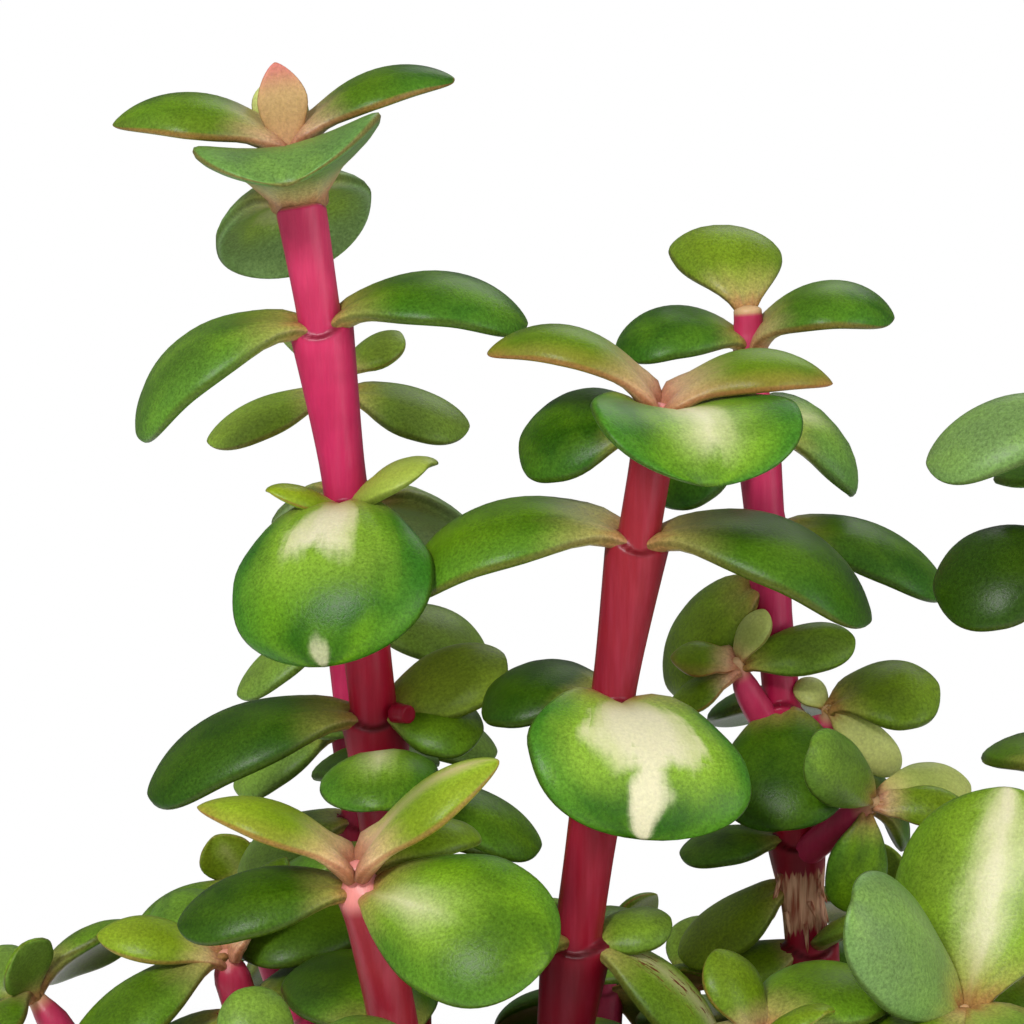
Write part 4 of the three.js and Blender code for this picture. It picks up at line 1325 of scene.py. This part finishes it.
def root_and_margin(w, on, flesh):
    """The flesh with a tan root and dark margins, or pink ones where the leaf blushes.

    A blushing leaf has a yellow-green zone beyond its root, and one that blushes all over is a
    pink bud.
    """
    tone = LEAF_TONES
    zone = w.times(on.blush, w.step(on.along, 0.15, 0.4), w.step(on.along, 0.8, 0.5))
    flesh = w.mix(w.times(zone, 0.7), flesh, tone.beyond_root)
    near_root = w.less(on.along, w.times(on.jag, 0.15))
    root = w.step(near_root, w.sum("MULTIPLY_ADD", on.blush, 0.14, 0.34), 0.02)
    root_tone = w.mix(w.step(on.blush, 0.15, 0.7), tone.tan_root, tone.pink_root)
    flesh = w.mix(w.times(root, 0.85), flesh, root_tone)
    flesh = w.mix(w.times(w.step(near_root, 0.15, 0.02), 0.55), flesh, tone.red_root)
    edges = w.plus(w.times(w.step(on.aside, 0.4, 1), 0.8), w.step(on.along, 0.8, 1))
    flush = w.times(w.step(on.blush, 0.68, 0.95), edges)
    flesh = w.mix(w.times(flush, 0.6), flesh, tone.flush)
    bud = w.mix(w.step(on.along, 0.6, 1), tone.bud, tone.bud_tip)
    flesh = w.mix(w.times(w.step(on.blush, 0.93, 1), 0.85), flesh, bud)
    margin = w.sum("MAXIMUM", w.step(on.aside, 0.96, 0.995), w.step(on.along, 0.98, 1))
    margin_tone = w.mix(w.step(on.blush, 0.2, 0.6), tone.margin, tone.red_margin)
    return w.mix(w.times(margin, 0.6), flesh, margin_tone)


def leaf_finish(effects):
    """Waxy green flesh with a cream patch, its root and margins, brown flecks and fine grain."""
    material, w, shader = new_material("waxy_leaf")
    on = leaf_sockets(w)
    flesh, patch = cream_patch(w, on, leaf_flesh(w, effects, on))
    flesh = root_and_margin(w, on, flesh)
    flecks = w.use(effects.spots, Vector=on.lanes, Scale=6.0, Limit=0.56)["Mask"]
    flecks = w.times(flecks, on.scar, w.step(on.offset, 0.45, 0.2))
    flesh = w.mix(flecks, flesh, LEAF_TONES.fleck)
    tender = w.step(w.sum("MAXIMUM", on.youth, on.blush), 0.6, 1)
    contrast = w.plus(1.7, w.times(patch, -1.2), w.times(tender, -0.8))
    grained(w, shader, effects, w.place(), 3.6, contrast, flesh, (0.3, 0.2), (0.06, 0.6))
    fleshy(shader, (0.6, 1.0, 0.25), 1.2, 0.22)
    return material


# node is the dark of the node lines and of the painted shade below old nodes.
STEM_TONES = tones(
    young_pink=(190, 46, 88), pink=(188, 32, 84), old_pink=(174, 4, 44), young_brick=(144, 32, 42),
    brick=(132, 15, 32), old_brick=(160, 6, 40), oldest=(130, 12, 32), streak=(220, 96, 124),
    cloud=(126, 14, 42), tender=(200, 166, 118), tender_brick=(226, 142, 134), node=(88, 12, 22),
    rind=(158, 84, 60), pale_rind=(228, 178, 144),
)


def stem_finish(effects):
    """Satin stem, pink or brick red, pale at its end; dark node lines and painted shade below;
    papery bark.
    """
    material, w, shader = new_material("red_stem")
    tone = STEM_TONES
    below_tip, line, tender = w.attribute("stalk")
    bark, woody, brick = w.attribute("aged")
    fibres = w.place((2.2, 2.2, 0.16))

    # the skin: its colour by its age, which is its distance below the tip, with pale streaks
    body = w.mix(w.step(below_tip, 6, 30), tone.young_pink, tone.pink)
    body = w.mix(w.step(below_tip, 30, 50), body, tone.old_pink)
    red = w.mix(w.step(below_tip, 6, 30), tone.young_brick, tone.brick)
    red = w.mix(w.step(below_tip, 30, 56), red, tone.old_brick)
    body = w.mix(brick, body, red)
    body = w.mix(w.step(below_tip, 62, 90), body, tone.oldest)
    streaks = w.step(w.noise(fibres, 0.55, 3.0, 0.6), 0.35, 0.75)
    body = w.mix(w.times(streaks, 0.12), body, tone.streak)
    body = clouded(w, effects, w.place(), 0.3, 0.22, body, tone.cloud)
    end = w.mix(brick, tone.tender, tone.tender_brick)
    body = w.mix(w.times(tender, 0.92), body, end)
    # dark node lines, and below old nodes a painted shade, both in the node tone
    body = w.mix(w.times(line, 0.8), body, tone.node)

    # the rind: loose bark and the woody foot, both frayed along their fibres
    frayed = w.plus(bark, w.times(w.less(w.noise(fibres, 0.9), 0.5), 1.1))
    worn = w.plus(woody, w.times(w.less(streaks, 0.5), 0.35))
    old = w.sum("MAXIMUM", w.step(frayed, 0.38, 0.5), w.step(worn, 0.2, 0.8))
    rind = clouded(w, effects, fibres, 1.3, 1.0, tone.rind, tone.pale_rind)
    body = w.mix(old, body, rind)
    grain = w.use(effects.grain, Vector=fibres, Scale=1.6, Contrast=0.3, Color=body)
    w.feed(shader["Base Color"], grain["Color"])
    w.feed(shader["Roughness"], w.sum("MULTIPLY_ADD", old, 0.45, 0.36))
    height = w.sum("MULTIPLY_ADD", old, w.times(streaks, 3.0), grain["Height"])
    w.feed(shader["Normal"], w.bump(height, 0.06, 0.5))
    fleshy(shader, (1.0, 0.3, 0.3), 1.0, 0.32)
    return material


CLAY_TONES = tones(
    clay=(190, 108, 72), cloud=(170, 88, 56), damp=(140, 70, 46), lime=(226, 208, 186),
)


def clay_finish(effects):
    """Fired clay: mottled orange-brown, darker where damp, with lime bloom near rim and foot."""
    material, w, shader = new_material("fired_clay")
    tone = CLAY_TONES
    parts = w.node("SeparateXYZ")
    w.feed(parts.inputs[0], w.place())
    height = parts.outputs[2]
    body = clouded(w, effects, w.place((1, 1, 1.6)), 0.06, 0.8, tone.clay, tone.cloud)
    damp = w.times(w.step(height, 30, 4), w.noise(w.place(), 0.05), 0.9)
    body = w.mix(damp, body, tone.damp)
    edges = w.sum("MAXIMUM", w.step(height, 70, 79.5), w.step(height, 9, 1))
    lime = w.step(w.noise(w.place((1, 1, 0.6)), 0.12, 5.0, 0.7), 0.47, 0.72)
    lime = w.times(lime, w.sum("MULTIPLY_ADD", edges, 0.6, 0.2))
    body = w.mix(lime, body, tone.lime)
    grained(w, shader, effects, w.place(), 1.5, 0.28, body, (0.2, 0.72), (0.12, 0.6))
    return material


SOIL_TONES = tones(soil=(62, 44, 32), dry=(98, 72, 52), fleck=(158, 132, 104))


def soil_finish(effects):
    """Dark crumbly soil with pale flecks."""
    material, w, shader = new_material("potting_soil")
    tone = SOIL_TONES
    body = clouded(w, effects, w.place(), 0.45, 1.0, tone.soil, tone.dry)
    flecks = w.use(effects.spots, Vector=w.place(), Scale=1.3, Limit=0.64)["Mask"]
    body = w.mix(flecks, body, tone.fleck)
    grained(w, shader, effects, w.place(), 2.0, 0.9, body, (0.2, 0.78), (0.3, 0.8))
    return material


GRIT_TONES = tones(
    pumice=(206, 198, 184), dull_pumice=(168, 158, 144), bark=(98, 62, 42),
    dry_bark=(134, 92, 62), stone=(92, 88, 84), dust=(70, 54, 42),
)


def grit_finish(effects):
    """Grains of pale pumice, brown bark and grey grit, each in its own tone."""
    material, w, shader = new_material("mixed_grit")
    grit = GRIT_TONES
    kind, tone, _ = w.attribute("grain")
    pale = w.mix(tone, grit.pumice, grit.dull_pumice)
    bark = w.mix(tone, grit.bark, grit.dry_bark)
    body = w.mix(w.step(kind, 0.45, 0.5), pale, bark)
    body = w.mix(w.step(kind, 0.78, 0.82), body, grit.stone)
    body = clouded(w, effects, w.place(), 1.1, 0.35, body, grit.dust)
    grained(w, shader, effects, w.place(), 3.0, 0.6, body, (0.25, 0.7), (0.2, 0.7))
    return material


# ---------------------------------------------------------------- stage, light and camera

FLOOR = Sizes(radius=420, fades_from=0.35, sides=96, glow=0.12)
VIEW = Sizes(centre=(-7.9, 0, 143), elevation=7, distance=320, lens=125, sensor=36)
# The surroundings as light: how strong they are, how much less in gloss, and their colour.
GLOW = Sizes(strength=0.74, less_in_gloss=0.6, tint=(0.96, 0.98, 1, 1))
LAMPS = (  # name, place, size, watts
    ("key", (-180, -420, 420), 110, 1.95),
    ("fill", (420, -260, 260), 340, 0.8),
    ("back", (120, 380, 480), 300, 0.3),
    ("glint", (230, -330, 110), 60, 0.1),
)


def build_floor():
    """A pale floor that fades out into the pale surroundings."""
    shape = bmesh.new()
    bmesh.ops.create_circle(shape, cap_ends=True, segments=FLOOR.sides, radius=FLOOR.radius * MM)
    mesh = bpy.data.meshes.new("floor")
    shape.to_mesh(mesh)
    shape.free()
    material, w, shader = new_material("pale_floor")
    body = w.mix(w.noise(w.place(), 0.01), colour(248, 247, 245), colour(252, 251, 250))
    w.feed(shader["Base Color"], body)
    w.feed(shader["Roughness"], 0.85)
    w.feed(shader["Emission Color"], (1, 1, 1, 1))
    w.feed(shader["Emission Strength"], FLOOR.glow)
    away = w.node("VectorMath", operation="LENGTH")
    w.feed(away.inputs[0], w.place())
    shown = w.step(away.outputs["Value"], FLOOR.radius, FLOOR.radius * FLOOR.fades_from)
    w.feed(shader["Alpha"], shown)
    mesh.materials.append(material)
    floor = bpy.data.objects.new("floor", mesh)
    bpy.context.scene.collection.objects.link(floor)


def build_light():
    """White surroundings, dimmer as light than to the eye and dimmest in gloss; four lamps."""
    world = bpy.data.worlds.new("studio")
    world.use_nodes = True
    w = Wiring(world.node_tree)
    shown = world.node_tree.nodes["Background"]
    shown.inputs["Color"].default_value = (1, 1, 1, 1)
    glow = w.node("Background")
    glow.inputs["Color"].default_value = GLOW.tint
    ray = w.node("LightPath").outputs
    dimmed = w.sum("MULTIPLY_ADD", ray["Is Glossy Ray"], -GLOW.less_in_gloss, GLOW.strength)
    w.feed(glow.inputs["Strength"], dimmed)
    choose = w.node("MixShader")
    w.feed(choose.inputs[0], ray["Is Camera Ray"])
    w.feed(choose.inputs[1], glow.outputs[0])
    w.feed(choose.inputs[2], shown.outputs[0])
    w.feed(world.node_tree.nodes["World Output"].inputs["Surface"], choose.outputs[0])
    bpy.context.scene.world = world
    aim = np.array(VIEW.centre)
    for name, place, size, watts in LAMPS:
        lamp = bpy.data.lights.new(name, "AREA")
        lamp.shape, lamp.size, lamp.energy = "DISK", size * MM, watts
        made = bpy.data.objects.new(name, lamp)
        made.location = [v * MM for v in place]
        back = unit(np.array(place, float) - aim)
        made.rotation_euler = (
            math.acos(back[2]), 0, math.atan2(back[1], back[0]) + math.pi / 2
        )
        bpy.context.scene.collection.objects.link(made)


def build_camera():
    """A long lens in front of the bush, a little above it, level across."""
    tilt = math.radians(VIEW.elevation)
    back = np.array([0, -math.cos(tilt), math.sin(tilt)])
    camera = bpy.data.cameras.new("camera")
    camera.lens, camera.sensor_width = VIEW.lens, VIEW.sensor
    camera.clip_start, camera.clip_end = 0.01, 20
    made = bpy.data.objects.new("camera", camera)
    made.location = (np.array(VIEW.centre) + back * VIEW.distance) * MM
    made.rotation_euler = (math.pi / 2 - tilt, 0, 0)
    bpy.context.scene.collection.objects.link(made)
    bpy.context.scene.camera = made


# ---------------------------------------------------------------- putting it together

build_camera()
build_light()
build_floor()
bpy.context.scene.view_settings.view_transform = "Standard"

effects = Sizes(grain=make_grain(), mottle=make_mottle(), spots=make_spots())
materials = Sizes(leaf=leaf_finish(effects), stem=stem_finish(effects))
build_pot(clay_finish(effects))
build_soil(soil_finish(effects))
build_grit(grit_finish(effects))
print("leaves:", sum(build_shoot(shoot, materials) for shoot in all_shoots()))
